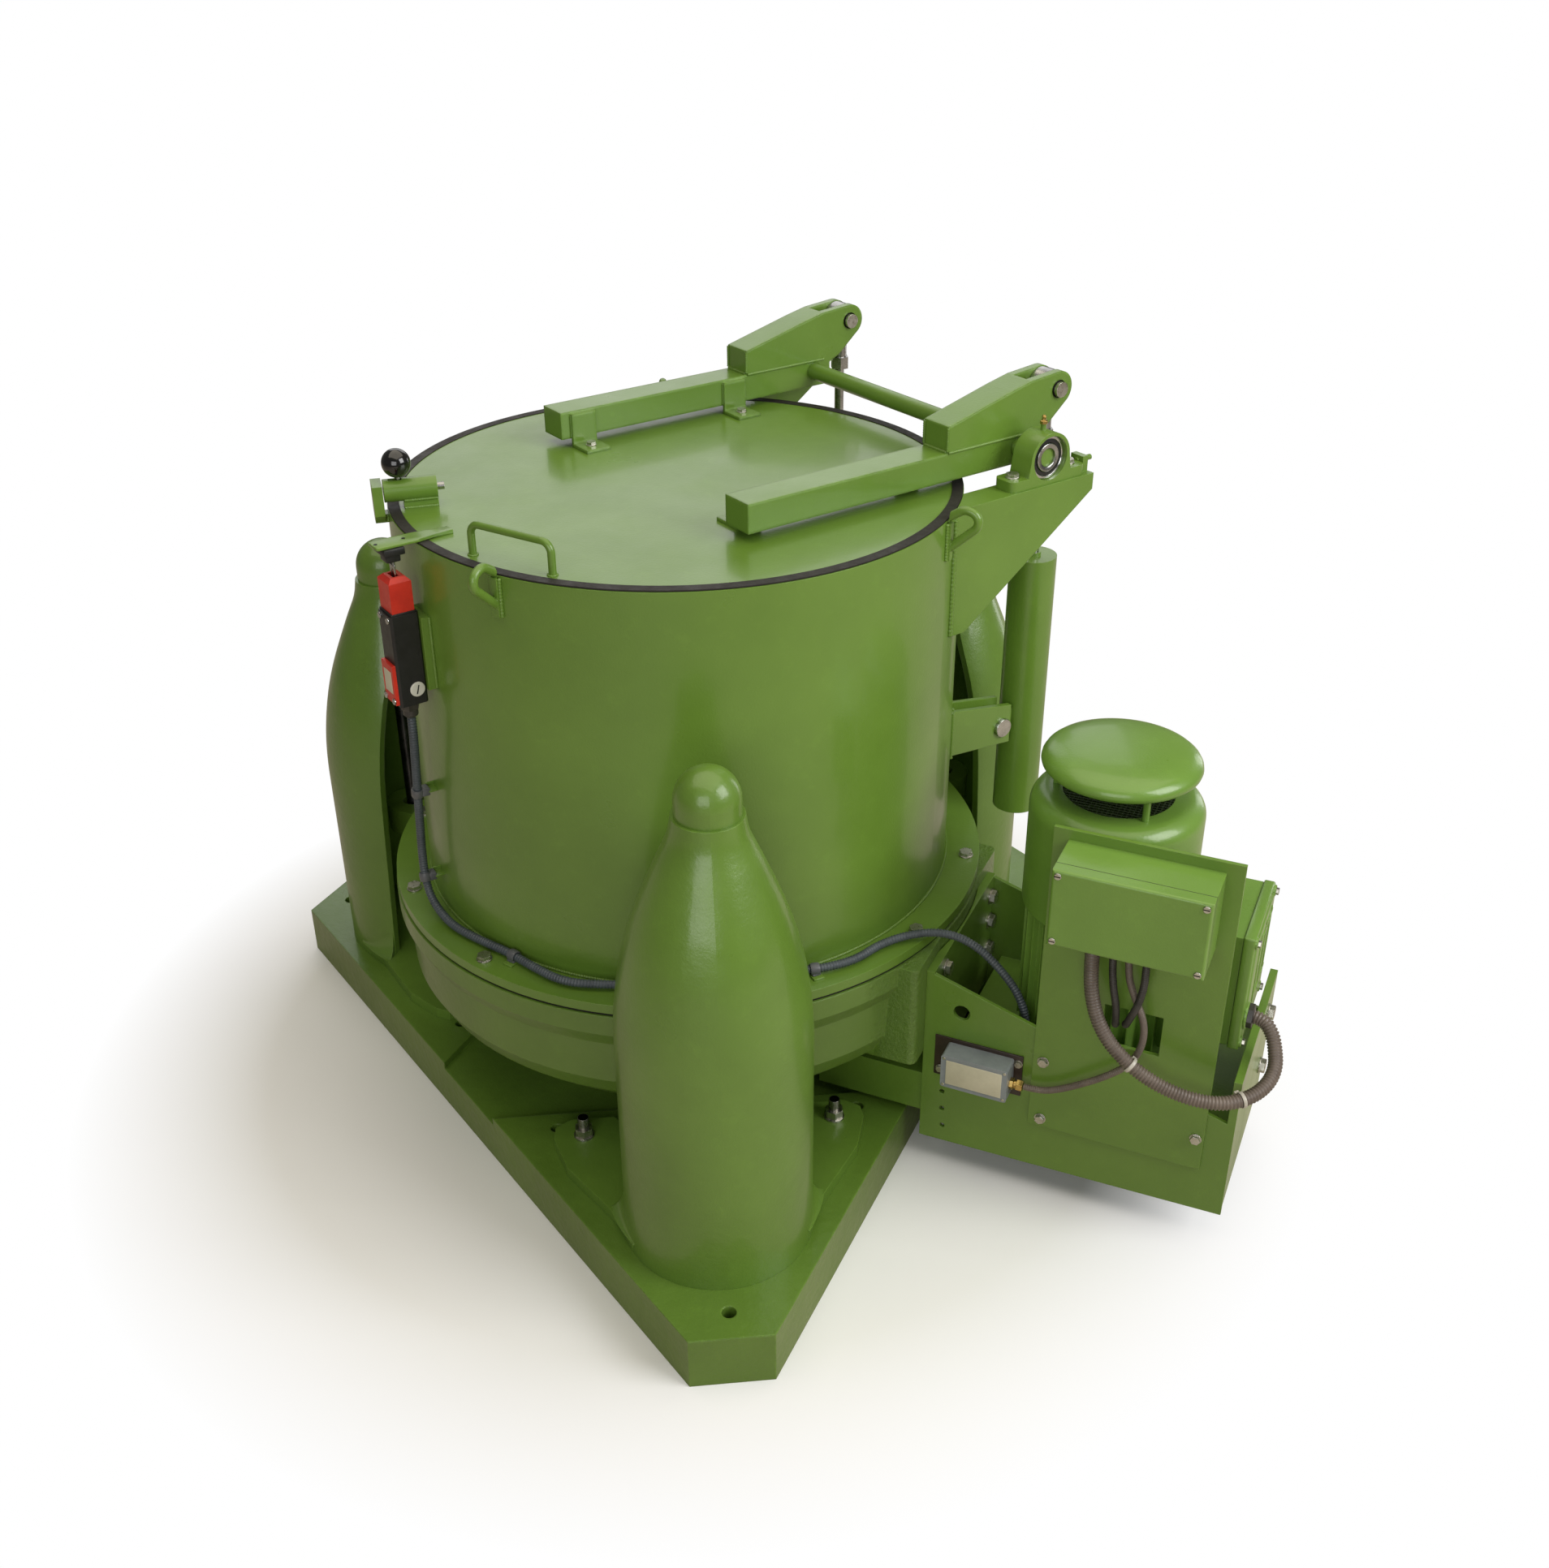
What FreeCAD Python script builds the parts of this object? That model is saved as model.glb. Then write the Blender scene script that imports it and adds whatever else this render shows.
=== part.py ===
import FreeCAD, Part
import math
import os

# Pendulum-suspended basket centrifuge. Millimetres, +Z up, origin on the basket
# axis at the underside of the base plate, +X towards the drive motor.

V = FreeCAD.Vector
UP = V(0, 0, 1)

# ---- driving dimensions -------------------------------------------------
HINGE_ANGLE = 60                      # the lid opens towards this direction
COLUMN_ANGLES = {"a": -60, "b": 180, "c": 60}

CASING_R = 400
BASE_APOTHEM = CASING_R + 20          # long sides of the base plate
BASE_CORNER = 741.5                   # distance of the truncated corners
BASE_H = 70
BASE_PAD_H = 12                       # raised corner pads under the columns
BASE_PAD_START = 280
BASE_RIM = 34
BASE_SKIN = 26
BASE_BORE_R = 150
ANCHOR_R = 697
ANCHOR_HOLE_R = 10
DOWEL_HOLE = (386, 36, 9)             # distance, angle from a column, radius

COLUMN_R = 528                        # distance of a column from the basket axis
COLUMN_BELL_R = 130
COLUMN_BELL_Z = 400                   # the bell is a plain cylinder up to here
COLUMN_CURVE = [(129, 440), (125.5, 480), (120, 515), (112.5, 550), (102.5, 585), (90, 620),
                (77, 652), (63, 685), (51.5, 712), (46, 740)]
COLUMN_WALL = 12
COLUMN_MOUTH = [(-22, 100), (-33, 380), (-44, 600), (-44, 645)]
FOOT_T = 18
FOOT_EAR = (353, 185)                 # foot stud, radial and sideways
NECK_FLOOR = 652
CAP_R = 42
CAP_SKIRT = 21
CAP_WALL = 5
CAP_SPIGOT_R = 26.5

ROD_R = 11
BALL_R = 24
BALL_GAP = 0.4
ROD_TOP_Z = 690
ROD_LOW_Z = 286

FLANGE_R = CASING_R + 53
FLANGE_BOLT_R = CASING_R + 33
FLANGE_BOLTS = 12

PAN_FLANGE_R = FLANGE_R + 2
PAN_TOP = 374
PAN_FLOOR = 165
PAN_WALL = 12
PAN_BORE_R = 75
PAD_X = CASING_R + 47                 # machined face that carries the motor bracket
PAD_HALF = 182
PAD_FOOT = 208
EAR_HALF = 44
EAR_H = 46

GASKET_T = 4
CASING_WALL = 6
CASING_TOP = 972.5
FLANGE_T = 14.5
LIP_R = CASING_R - 32
LIP_T = 8
LIP_DROP = 11.5                       # top of the inner lip below the casing's edge

LID_GAP = 0.5
LID_R = CASING_R - 16
LID_Z = 966
LID_T = 8
TRIM_R = CASING_R - 1                 # rubber trim over the gap round the lid
TRIM_WEB = 4
TRIM_CAP = 1
SEAL_W = 12

ARM_S = (212, 262)                    # inner and outer side of each lid arm
ARM_Z = (987, 1027)
ARM_BACK = -63
HINGE_T = CASING_R + 1
HINGE_Z = 1011
EAR_T = HINGE_T + 71
EAR_RISE = 53.6                       # ear pin above the top of the arm
EAR_Z = ARM_Z[1] + EAR_RISE
EAR_R = 25
EAR_PLATE = 12
ARM_FEET_T = (-27, 243)
ARM_FOOT = (40, 45, 5)                # width, reach, thickness

SHAFT_R = 13
SHAFT_HALF = 318

BRACKET_S = (286, 330)
BRACKET_LOW = (HINGE_T - 147, 790.6)
BRACKET_TIP = (HINGE_T + 84, 951)
BRACKET_TOP = 974.5
BRACKET_T = 10
BLOCK_S = (289, 327)
BLOCK_T = (HINGE_T - 70, HINGE_T + 70)
BLOCK_BASE_H = 15
BLOCK_R = 36
BLOCK_SHOULDER = 42                   # half width of the block at its base
BLOCK_BOLT_SPACING = 105
BEARING_R = 31
INNER_RING_R = 20
RING_GAP = 0.4
BEARING_HALF_W = 11

CYL_T = EAR_T
CYL_S = 237
CYL_R = 35
CYL_WALL = 4
CYL_Z = (397, 825)
PISTON_ROD_R = 7.5
PISTON_R = 30.5
PISTON_Z = (545, 565)
SPRING_WIRE_R = 3
SPRING_R = 20
SPRING_TURNS = 9
NUT_Z = (999, 1018)
EYE_W = 24
EYE_R = 24
PIVOT_T = CYL_T - 60
PIVOT_Z = 561
PIVOT_R = 12
FORK_PLATE = 8
FORK_GAP = 24
LUG_W = 23

MOTOR_X = 662
FRAME_R = 104
FIN_R = 113
FIN_COUNT = 30
FRAME_Z = (205, 459)
COWL_R = 119.5
COWL_TOP = 623
COWL_WALL = 3
COWL_BEND = 26
GRILLE_R = 76
HOOD_R = 108.5
HOOD_Z = (660, 694)
MOTOR_SHAFT_R = 19
RUN = 0.05                            # radial running clearance of every journal

BOX_X = (PAD_X, 898)                  # motor bracket
BOX_HALF = 142
PLATE = 6
MOUNT_PLATE = 12
SHELF_T = 15
BOX_Z = (49, 352)
BOX_SIDE = [(PAD_X, BOX_Z[1]), (613, 300), (BOX_X[1], 218), (BOX_X[1], 58), (PAD_X + 9, BOX_Z[0]),
            (PAD_X, BOX_Z[0])]
BOX_HOLES = [(55, 293, 12.5), (32, 142, 4), (33, 110, 4), (35, 78, 4)]    # from the pad, height, radius
END_Z = (72, 295)
BACK_X = (612, 860)
BACK_Z = (134, 635)
BACK_CUT = (704, 784, 310, 375)

JBOX_X = (633, 837)
JBOX_Z = (505, 620)
JBOX_D = 60
JBOX_LID = 20
TBOX_X = (782.5, 863)
TBOX_HALF = 76
TBOX_Z = (303, 481)
TBOX_LID = 20
SENSOR_X = (486, 585)
SENSOR_Z = (183, 239)
SENSOR_D = 33
SENSOR_PLATE = 3

PULLEY_Z = (100, 145)
DRIVEN_R = 130
DRIVE_R = 65
GROOVE_D = 10
BELT_W = 13
BELT_Z = (106, 126)
BELT_T = 9
BELT_GAP = 0.4
GUARD_X = (280, PAD_X)
GUARD_HALF = 135
GUARD_Z = (91, 160)
GUARD_WALL = 3

SPINDLE_R = 25
HOUSING_R = 60
BASKET_R = CASING_R - 70
BASKET_WALL = 8
BASKET_Z = (410, 900)
BASKET_LIP_R = BASKET_R - 75
DRAIN_R = 9
DRAIN_ROWS = 4
DRAIN_COUNT = 12

LATCH_ANGLE = -140
LATCH_BARREL = (LID_R - 52, CASING_R + 3)
LATCH_BARREL_R = 15.5
LATCH_PIN_R = 5
LATCH_PIN = (LATCH_BARREL[0] - 10, LATCH_BARREL[1] - 0.5)
LATCH_STEM = LID_R - 2
LATCH_TRAVEL = 9
LATCH_KNOB_R = 19.5
LATCH_KNOB_Z = 1035
LATCH_Z = 998                         # height of the latch pin
LATCH_FOOT = (LATCH_BARREL[0], LID_R - 6)
CATCH = (CASING_R + 4.5, CASING_R + 18)
CATCH_Z = (957, 1010)

SWITCH_ANGLE = -121
SWITCH_STANDOFF = 32                  # axis of the switch, outside the casing
SWITCH_R = CASING_R + SWITCH_STANDOFF
SWITCH_HALF = 20
SWITCH_Z = (755, 885)
HEAD_HALF = (15.5, 18)                # radial and sideways
HEAD_TOP = 935
COVER_Z = (759, 816)
COVER_T = 5
KEY_BAR = (LID_R - 37, SWITCH_R + 24)
KEY_BAR_T = 4
KEY_TIP = 921
HOLDER_DROP = 20                      # underside of the key holder below the lid's face
KEY_SIZE = (3, 14)
KEY_PLAY = 3.5

LUG_BESIDE = 4.412                    # angle from the hinge brackets to their lugs
LUG_TURN = math.degrees(math.asin(BRACKET_S[1] / CASING_R)) + LUG_BESIDE
LUG_ANGLES = (-97, HINGE_ANGLE - LUG_TURN, HINGE_ANGLE + LUG_TURN)
LUG_ROD_R = 6
LUG_BAR_Z = (918, 970)
LUG_LOOP = [(-15, 918), (55, 981), (22, 991), (-15, 967)]     # from the casing, height
LUG_BEND = 14

HANDLE = [(LID_R - 13.9, -107), (LID_R - 11.6, -87.2)]    # feet: radius and angle
HANDLE_TOP = 1016
HANDLE_ROD_R = 5

# Routes of the conduits, chosen by hand. The first runs down the casing and
# round the flange: (distance from the casing, angle, height).
CONDUIT_R = 6.2
CONDUIT_ROUTE = [(32, -121, 735), (32, -121, 710), (30, -122.3, 668), (27, -124.7, 600),
                 (26, -126.2, 540), (26, -127.3, 490), (26, -127.6, 450), (26, -125.6, 420),
                 (24, -121, 406), (22, -115.5, 402),
                 (14, -108.5, 401.5), (10, -101.5, 402), (19, -94.5, 402), (31, -87, 401),
                 (22, -79.5, 402), (11, -72.5, 401), (17, -65.5, 402), (25, -58.5, 401),
                 (15, -51.5, 402), (10, -44.5, 401), (24, -38, 402), (31, -31, 401),
                 (24, -24.5, 402), (41, -18, 404)]
CONDUIT_DROP = [(462, -117, 407), (504, -105, 390), (545, -101, 353), (577, -104, 316),
                (592, -110, 268), (592, -110, 205)]
MOTOR_LEAD_R = 10
MOTOR_LEAD = [(686, -182, 493), (686, -182, 452), (693, -187, 405), (712, -192, 360),
              (748, -195, 324), (795, -197, 300), (845, -195, 290), (884, -185, 289),
              (914, -161, 293), (930, -135, 301), (934, -110, 312), (928, -88, 324),
              (920, -72, 337), (904, -58, 348), (883.2, -58, 348)]
SENSOR_LEAD_R = 5
SENSOR_LEAD = [(733, -175, 493), (733, -175, 455), (746, -172, 415), (763, -168, 376),
               (764, -166, 334), (749, -166, 296), (717, -167, 266), (684, -166, 241),
               (653, -163, 219), (627, -161, 207.5), (605, -161, 207.5)]

# ---- helpers ------------------------------------------------------------
PARTS = {}


def turned(shape, angle):
    shape = shape.copy()
    shape.rotate(V(0, 0, 0), UP, angle)
    return shape


def box(x, y, z):
    return Part.makeBox(x[1] - x[0], y[1] - y[0], z[1] - z[0], V(x[0], y[0], z[0]))


def rod(r, start, end):
    start = V(*start)
    step = V(*end) - start
    return Part.makeCylinder(r, step.Length, start, step)


def disc(r, z0, z1, x=0, y=0):
    return rod(r, (x, y, z0), (x, y, z1))


def ring(r_out, r_in, z0, z1, x=0, y=0):
    return disc(r_out, z0, z1, x, y).cut(disc(r_in, z0 - 1, z1 + 1, x, y))


def prism(points, direction):
    """Extrudes a closed outline of 3-D points along a vector."""
    points = [V(*p) for p in points]
    return Part.Face(Part.makePolygon(points + points[:1])).extrude(V(*direction))


def side_plate(outline, y0, y1):
    """Extrudes an (x, z) outline from y0 to y1."""
    return prism([(x, y0, z) for x, z in outline], (0, y1 - y0, 0))


def lathe(outline, x=0, y=0):
    """Turns an (r, z) outline about the vertical line through x, y."""
    points = [V(x + r, y, z) for r, z in outline]
    return Part.Face(Part.makePolygon(points + points[:1])).revolve(V(x, y, 0), UP, 360)


def hexagon(af, base, axis, height):
    """A hexagonal prism with the given width across flats."""
    axis = V(*axis)
    side = axis.cross(UP) if axis.cross(UP).Length > 0.1 else V(1, 0, 0)
    side.normalize()
    across = axis.cross(side)
    across.normalize()
    r = af / math.sqrt(3)
    corners = []
    for i in range(6):
        a = math.radians(60 * i)
        corners.append(V(*base) + side * (r * math.cos(a)) + across * (r * math.sin(a)))
    return Part.Face(Part.makePolygon(corners + corners[:1])).extrude(axis * height)


def bolt(d, af, seat, axis, grip):
    """A hexagon bolt whose head sits on the seat point; the shank runs against the axis."""
    seat = V(*seat)
    axis = V(*axis)
    head = hexagon(af, seat, axis, 0.64 * d)
    washer = Part.makeCylinder(0.62 * af, 0.15 * d, seat, axis)
    shank = Part.makeCylinder(d / 2, grip, seat - axis * grip, axis)
    return head.fuse(washer).fuse(shank).removeSplitter()


def join(shapes):
    shapes = list(shapes)
    result = shapes[0]
    for extra in shapes[1:]:
        result = result.fuse(extra)
    return result.removeSplitter()


def group(shapes):
    return Part.makeCompound(list(shapes))


def polar(r, angle, z):
    a = math.radians(angle)
    return (r * math.cos(a), r * math.sin(a), z)


def hinge_frame(shape):
    """Local x runs towards the hinge and local -y is the near side."""
    return turned(shape, HINGE_ANGLE)


def both_sides(make):
    """The near and far copies of a piece built on the near side (y < 0)."""
    near = make()
    return [hinge_frame(near), hinge_frame(near.mirror(V(0, 0, 0), V(0, 1, 0)))]


def tube_along(name, route, r):
    """Straight runs joined by tangent arcs, swept with a round section."""
    points = [V(*p) for p in route]
    edges = []
    radii = []
    last = points[0]
    for before, corner, after in zip(points, points[1:], points[2:]):
        a = before - corner
        b = after - corner
        reach = 0.45 * min(a.Length, b.Length)
        half_turn = (math.pi - a.getAngle(b)) / 2
        radii.append(reach / math.tan(half_turn))
        a.normalize()
        b.normalize()
        start = corner + a * reach
        end = corner + b * reach
        middle = a + b
        middle.normalize()
        sagitta = radii[-1] / math.cos(half_turn) - radii[-1]
        edges.append(Part.LineSegment(last, start).toShape())
        edges.append(Part.Arc(start, corner + middle * sagitta, end).toShape())
        last = end
    edges.append(Part.LineSegment(last, points[-1]).toShape())
    wire = Part.Wire(edges)
    tangent = points[1] - points[0]
    section = Part.Wire(Part.makeCircle(r, points[0], tangent))
    tube = wire.makePipeShell([section], True, False)
    print(name, "length %.0f" % wire.Length, "smallest radius %.0f" % min(radii),
          "volume ratio %.4f" % (tube.Volume / (math.pi * r * r * wire.Length)))
    return tube


def bent_rod(points, r, bend):
    """A round bar through the points with one bend radius at every corner."""
    points = [V(*p) for p in points]
    edges = []
    last = points[0]
    for before, corner, after in zip(points, points[1:], points[2:]):
        a = (before - corner).normalize()
        b = (after - corner).normalize()
        half_turn = (math.pi - a.getAngle(b)) / 2
        reach = bend * math.tan(half_turn)
        middle = (a + b).normalize()
        start = corner + a * reach
        end = corner + b * reach
        if start.distanceToPoint(last) > 0.01:
            edges.append(Part.LineSegment(last, start).toShape())
        edges.append(Part.Arc(start, corner + middle * (bend / math.cos(half_turn) - bend), end).toShape())
        last = end
    edges.append(Part.LineSegment(last, points[-1]).toShape())
    section = Part.Wire(Part.makeCircle(r, points[0], points[1] - points[0]))
    return Part.Wire(edges).makePipeShell([section], True, False)


# ---- base and columns ---------------------------------------------------
def base_outline(apothem, corner):
    """Corners of a triangle with truncated tips, anticlockwise."""
    lines = [(0, apothem), (60, corner), (120, apothem), (180, corner), (240, apothem), (300, corner)]
    points = []
    for (a, p), (b, q) in zip(lines, lines[1:] + lines[:1]):
        a = math.radians(a)
        b = math.radians(b)
        det = math.sin(b - a)
        points.append(((p * math.sin(b) - q * math.sin(a)) / det,
                       (q * math.cos(a) - p * math.cos(b)) / det))
    return points


def base_plate():
    outline = base_outline(BASE_APOTHEM, BASE_CORNER)
    top = BASE_H + BASE_PAD_H
    slab = prism([(x, y, 0) for x, y in outline], (0, 0, BASE_H))
    full = prism([(x, y, BASE_H) for x, y in outline], (0, 0, BASE_PAD_H))
    corner = box((BASE_PAD_START, BASE_CORNER + 10), (-BASE_CORNER, BASE_CORNER), (BASE_H, top))
    shape = join([slab] + [full.common(turned(corner, a)) for a in COLUMN_ANGLES.values()])
    pocket = base_outline(BASE_APOTHEM - BASE_RIM, ANCHOR_R - 2 * BASE_RIM)
    shape = shape.cut(prism([(x, y, -1) for x, y in pocket], (0, 0, BASE_H - BASE_SKIN + 1)))
    shape = shape.cut(disc(BASE_BORE_R, -1, top))
    for a in COLUMN_ANGLES.values():
        x, y, z = polar(ANCHOR_R, a, 0)
        shape = shape.cut(disc(ANCHOR_HOLE_R, -1, top + 1, x, y))
        for side in (-1, 1):
            x, y, z = polar(DOWEL_HOLE[0], a + side * DOWEL_HOLE[1], 0)
            shape = shape.cut(disc(DOWEL_HOLE[2], -1, top + 1, x, y))
        for side in (-1, 1):
            stud = turned(disc(8.2, -1, top + 1, FOOT_EAR[0], side * FOOT_EAR[1]), a)
            shape = shape.cut(stud)
    return shape


def bell(z0):
    """The outside of a column: a cylinder that runs into a smooth neck."""
    knots = [V(COLUMN_R + r, 0, z) for r, z in [(COLUMN_BELL_R, COLUMN_BELL_Z)] + COLUMN_CURVE]
    neck = Part.BSplineCurve()
    neck.interpolate(Points=knots, InitialTangent=V(0, 0, 1), FinalTangent=V(-0.15, 0, 1))
    corners = [knots[-1], V(COLUMN_R, 0, knots[-1].z), V(COLUMN_R, 0, z0),
               V(COLUMN_R + COLUMN_BELL_R, 0, z0), knots[0]]
    outline = Part.Wire([neck.toShape()] + Part.makePolygon(corners).Edges)
    return Part.Face(outline).revolve(V(COLUMN_R, 0, 0), UP, 360)


def column():
    """One bell column in its own frame, with x pointing away from the basket."""
    z0 = BASE_H + BASE_PAD_H
    top_z = COLUMN_CURVE[-1][1]
    outer = bell(z0)
    inner = [(r - COLUMN_WALL, z) for r, z in COLUMN_CURVE if z < NECK_FLOOR]
    inner = [(COLUMN_BELL_R - COLUMN_WALL, z0 + FOOT_T)] + inner + [(66, NECK_FLOOR), (0, NECK_FLOOR),
                                                                   (0, z0 + FOOT_T)]
    shell = outer.cut(lathe(inner, COLUMN_R))
    mouth = [(COLUMN_R + x, z) for x, z in COLUMN_MOUTH]
    far = COLUMN_R - 200
    mouth = [(far, z0 + FOOT_T)] + mouth + [(far, COLUMN_MOUTH[-1][1])]
    shell = shell.cut(side_plate(mouth, -200, 200))
    ear_x, ear_y = FOOT_EAR
    foot = [(ear_x - 36, ear_y + 20), (ear_x - 20, ear_y + 42), (ear_x + 3, ear_y + 44),
            (419, 210), (524, 141), (575, 122)]
    foot += [(x, -y) for x, y in reversed(foot)] + [(ear_x - 36, -ear_y + 45), (452, -60),
                                                    (452, 60), (ear_x - 36, ear_y - 45)]
    foot = prism([(x, y, z0) for x, y in foot], (0, 0, FOOT_T))
    shape = join([shell, foot])
    for side in (-1, 1):
        shape = shape.cut(disc(8.2, z0 - 1, z0 + FOOT_T + 1, ear_x, side * ear_y))
    seat = Part.makeSphere(BALL_R + BALL_GAP, V(COLUMN_R, 0, ROD_TOP_Z))
    shape = shape.cut(seat)
    shape = shape.cut(disc(BALL_R + BALL_GAP, ROD_TOP_Z, top_z + 1, COLUMN_R))
    shape = shape.cut(disc(CAP_SPIGOT_R + BALL_GAP, top_z - 12, top_z + 1, COLUMN_R))
    return shape.cut(disc(ROD_R + 6, NECK_FLOOR - 1, ROD_TOP_Z, COLUMN_R))


def column_cap():
    z0 = COLUMN_CURVE[-1][1]
    centre = V(COLUMN_R, 0, z0 + CAP_SKIRT)
    outer = disc(CAP_R, z0, z0 + CAP_SKIRT, COLUMN_R).fuse(Part.makeSphere(CAP_R, centre))
    outer = outer.common(disc(CAP_R, z0, z0 + 2 * CAP_R, COLUMN_R))
    r = CAP_R - CAP_WALL
    inner = disc(r, z0 + CAP_WALL, z0 + CAP_SKIRT, COLUMN_R).fuse(Part.makeSphere(r, centre))
    inner = inner.common(disc(r, z0 + CAP_WALL, z0 + 2 * CAP_R, COLUMN_R))
    spigot = disc(CAP_SPIGOT_R, z0 - 10, z0 + CAP_WALL, COLUMN_R)
    bore = disc(CAP_SPIGOT_R - CAP_WALL, z0 - 11, z0 + CAP_WALL + 1, COLUMN_R)
    return outer.cut(inner).fuse(spigot).removeSplitter().cut(bore)


def foot_fasteners():
    """Stud, washer and nut at both ears of every foot."""
    seat = BASE_H + BASE_PAD_H + FOOT_T
    x, y0 = FOOT_EAR
    pieces = []
    for a in COLUMN_ANGLES.values():
        for y in (-y0, y0):
            nut = hexagon(24, (x, y, seat + 3), (0, 0, 1), 13).cut(disc(8.05, seat, seat + 20, x, y))
            stud = disc(8, BASE_H - BASE_SKIN, seat + 34, x, y)
            pieces += [turned(p, a) for p in (stud, ring(15, 8.3, seat, seat + 3, x, y), nut)]
    return group(pieces)


def suspension_rod():
    bar = disc(ROD_R, ROD_LOW_Z, ROD_TOP_Z, COLUMN_R)
    balls = [Part.makeSphere(BALL_R, V(COLUMN_R, 0, z)) for z in (ROD_LOW_Z, ROD_TOP_Z)]
    return join([bar] + balls)


PARTS["base_plate"] = base_plate()
for letter, angle in COLUMN_ANGLES.items():
    PARTS["column_" + letter] = turned(column(), angle)
    PARTS["suspension_rod_" + letter] = turned(suspension_rod(), angle)
PARTS["column_caps"] = group(turned(column_cap(), a) for a in COLUMN_ANGLES.values())
PARTS["foot_fasteners"] = foot_fasteners()


# ---- pan and casing -----------------------------------------------------
def flange_holes(z0, z1, r=7):
    holes = []
    for i in range(FLANGE_BOLTS):
        x, y, z = polar(FLANGE_BOLT_R, 15 + 360 / FLANGE_BOLTS * i, 0)
        holes.append(disc(r, z0 - 1, z1 + 1, x, y))
    return join(holes[:1]).fuse(holes[1:])


def pan():
    r = CASING_R
    w = PAN_WALL
    outer = [(PAN_BORE_R, PAN_FLOOR), (r - 100, PAN_FLOOR), (r - 15, 181), (r + 5, 200), (r + 25, 220),
             (r + 40, 250), (r + 43, 318), (PAN_FLANGE_R, 342), (PAN_FLANGE_R, PAN_TOP)]
    inner = [(r, PAN_TOP), (r, 352), (r + 28, 336), (r + 28, 252), (r + 12, 226), (r - 6, 208), (r - 22, 192),
             (r - 102, PAN_FLOOR + w), (PAN_BORE_R, PAN_FLOOR + w)]
    shape = lathe(outer + inner)
    cavity = lathe([(0, PAN_TOP)] + inner + [(0, PAN_FLOOR + w)])
    pad = box((r - 60, PAD_X), (-PAD_HALF, PAD_HALF), (PAD_FOOT, PAN_TOP))
    pad = pad.makeFillet(12, [e for e in pad.Edges if e.BoundBox.XMin > PAD_X - 1 and e.BoundBox.YLength < 1])
    shape = shape.fuse(pad.cut(cavity)).removeSplitter().cut(flange_holes(340, PAN_TOP))
    ears = []
    for a in COLUMN_ANGLES.values():
        ear = box((r + 30, COLUMN_R), (-EAR_HALF, EAR_HALF), (ROD_LOW_Z, ROD_LOW_Z + EAR_H))
        ear = ear.fuse(disc(EAR_HALF, ROD_LOW_Z, ROD_LOW_Z + EAR_H, COLUMN_R)).removeSplitter()
        seat = Part.makeSphere(BALL_R + BALL_GAP, V(COLUMN_R, 0, ROD_LOW_Z))
        bore = disc(ROD_R + 6, ROD_LOW_Z, ROD_LOW_Z + EAR_H + 1, COLUMN_R)
        ears.append(turned(ear.cut(seat).cut(bore), a).cut(lathe(outer + inner)))
    return group([shape] + ears)


def casing():
    """Rolled shell with its welded flange and the inner lip under the lid."""
    z0 = PAN_TOP + GASKET_T
    inner = CASING_R - CASING_WALL
    shell = ring(CASING_R, inner, z0, CASING_TOP)
    flange = ring(FLANGE_R, CASING_R, z0, z0 + FLANGE_T).cut(flange_holes(z0, z0 + FLANGE_T))
    lip = ring(inner, LIP_R, CASING_TOP - LIP_DROP - LIP_T, CASING_TOP - LIP_DROP)
    return group([shell, flange, lip])


def pan_gasket():
    shape = ring(FLANGE_R - 2, CASING_R + 5, PAN_TOP, PAN_TOP + GASKET_T)
    return shape.cut(flange_holes(PAN_TOP, PAN_TOP + GASKET_T))


def casing_bolts():
    """Hexagon bolts of the casing flange and of the two bearing blocks."""
    seat = PAN_TOP + GASKET_T + FLANGE_T
    pieces = []
    for i in range(FLANGE_BOLTS):
        pieces.append(bolt(12, 18, polar(FLANGE_BOLT_R, 15 + 360 / FLANGE_BOLTS * i, seat), (0, 0, 1), 48))
    s = sum(BLOCK_S) / 2
    for t in (HINGE_T - BLOCK_BOLT_SPACING / 2, HINGE_T + BLOCK_BOLT_SPACING / 2):
        piece = bolt(10, 16, (t, -s, BRACKET_TOP + BLOCK_BASE_H), (0, 0, 1), BLOCK_BASE_H + BRACKET_T + 6)
        pieces += both_sides(lambda: piece)
    return group(pieces)


PARTS["pan"] = pan()
PARTS["pan_gasket"] = pan_gasket()
PARTS["casing"] = casing()
PARTS["casing_bolts"] = casing_bolts()


# ---- hinge --------------------------------------------------------------
def drum(r=CASING_R):
    return disc(r, 0, CASING_TOP + 200)


def hinge_bracket():
    s0, s1 = BRACKET_S
    top = box((0, BRACKET_TIP[0]), (-s1, -s0), (BRACKET_TOP - BRACKET_T, BRACKET_TOP))
    web = [(0, BRACKET_LOW[1]), BRACKET_LOW, BRACKET_TIP, (BRACKET_TIP[0], BRACKET_TOP - 2),
           (0, BRACKET_TOP - BRACKET_T)]
    shape = top.fuse(side_plate(web, -s1, -s1 + BRACKET_T)).removeSplitter().cut(drum())
    t1 = BLOCK_T[1]
    stop = box((t1 + 3, t1 + 13), (-s1 + 12, -s0 - 8), (BRACKET_TOP, BRACKET_TOP + 22))
    screw = rod(4, (t1 + 1, -s0 - 20, BRACKET_TOP + 14), (t1 + 29, -s0 - 20, BRACKET_TOP + 14))
    shape = join([shape, stop, screw])
    s = -sum(BLOCK_S) / 2
    for t in (HINGE_T - BLOCK_BOLT_SPACING / 2, HINGE_T + BLOCK_BOLT_SPACING / 2):
        shape = shape.cut(disc(5.5, BRACKET_TOP - 40, BRACKET_TOP + 1, t, s))
    return shape


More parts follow.
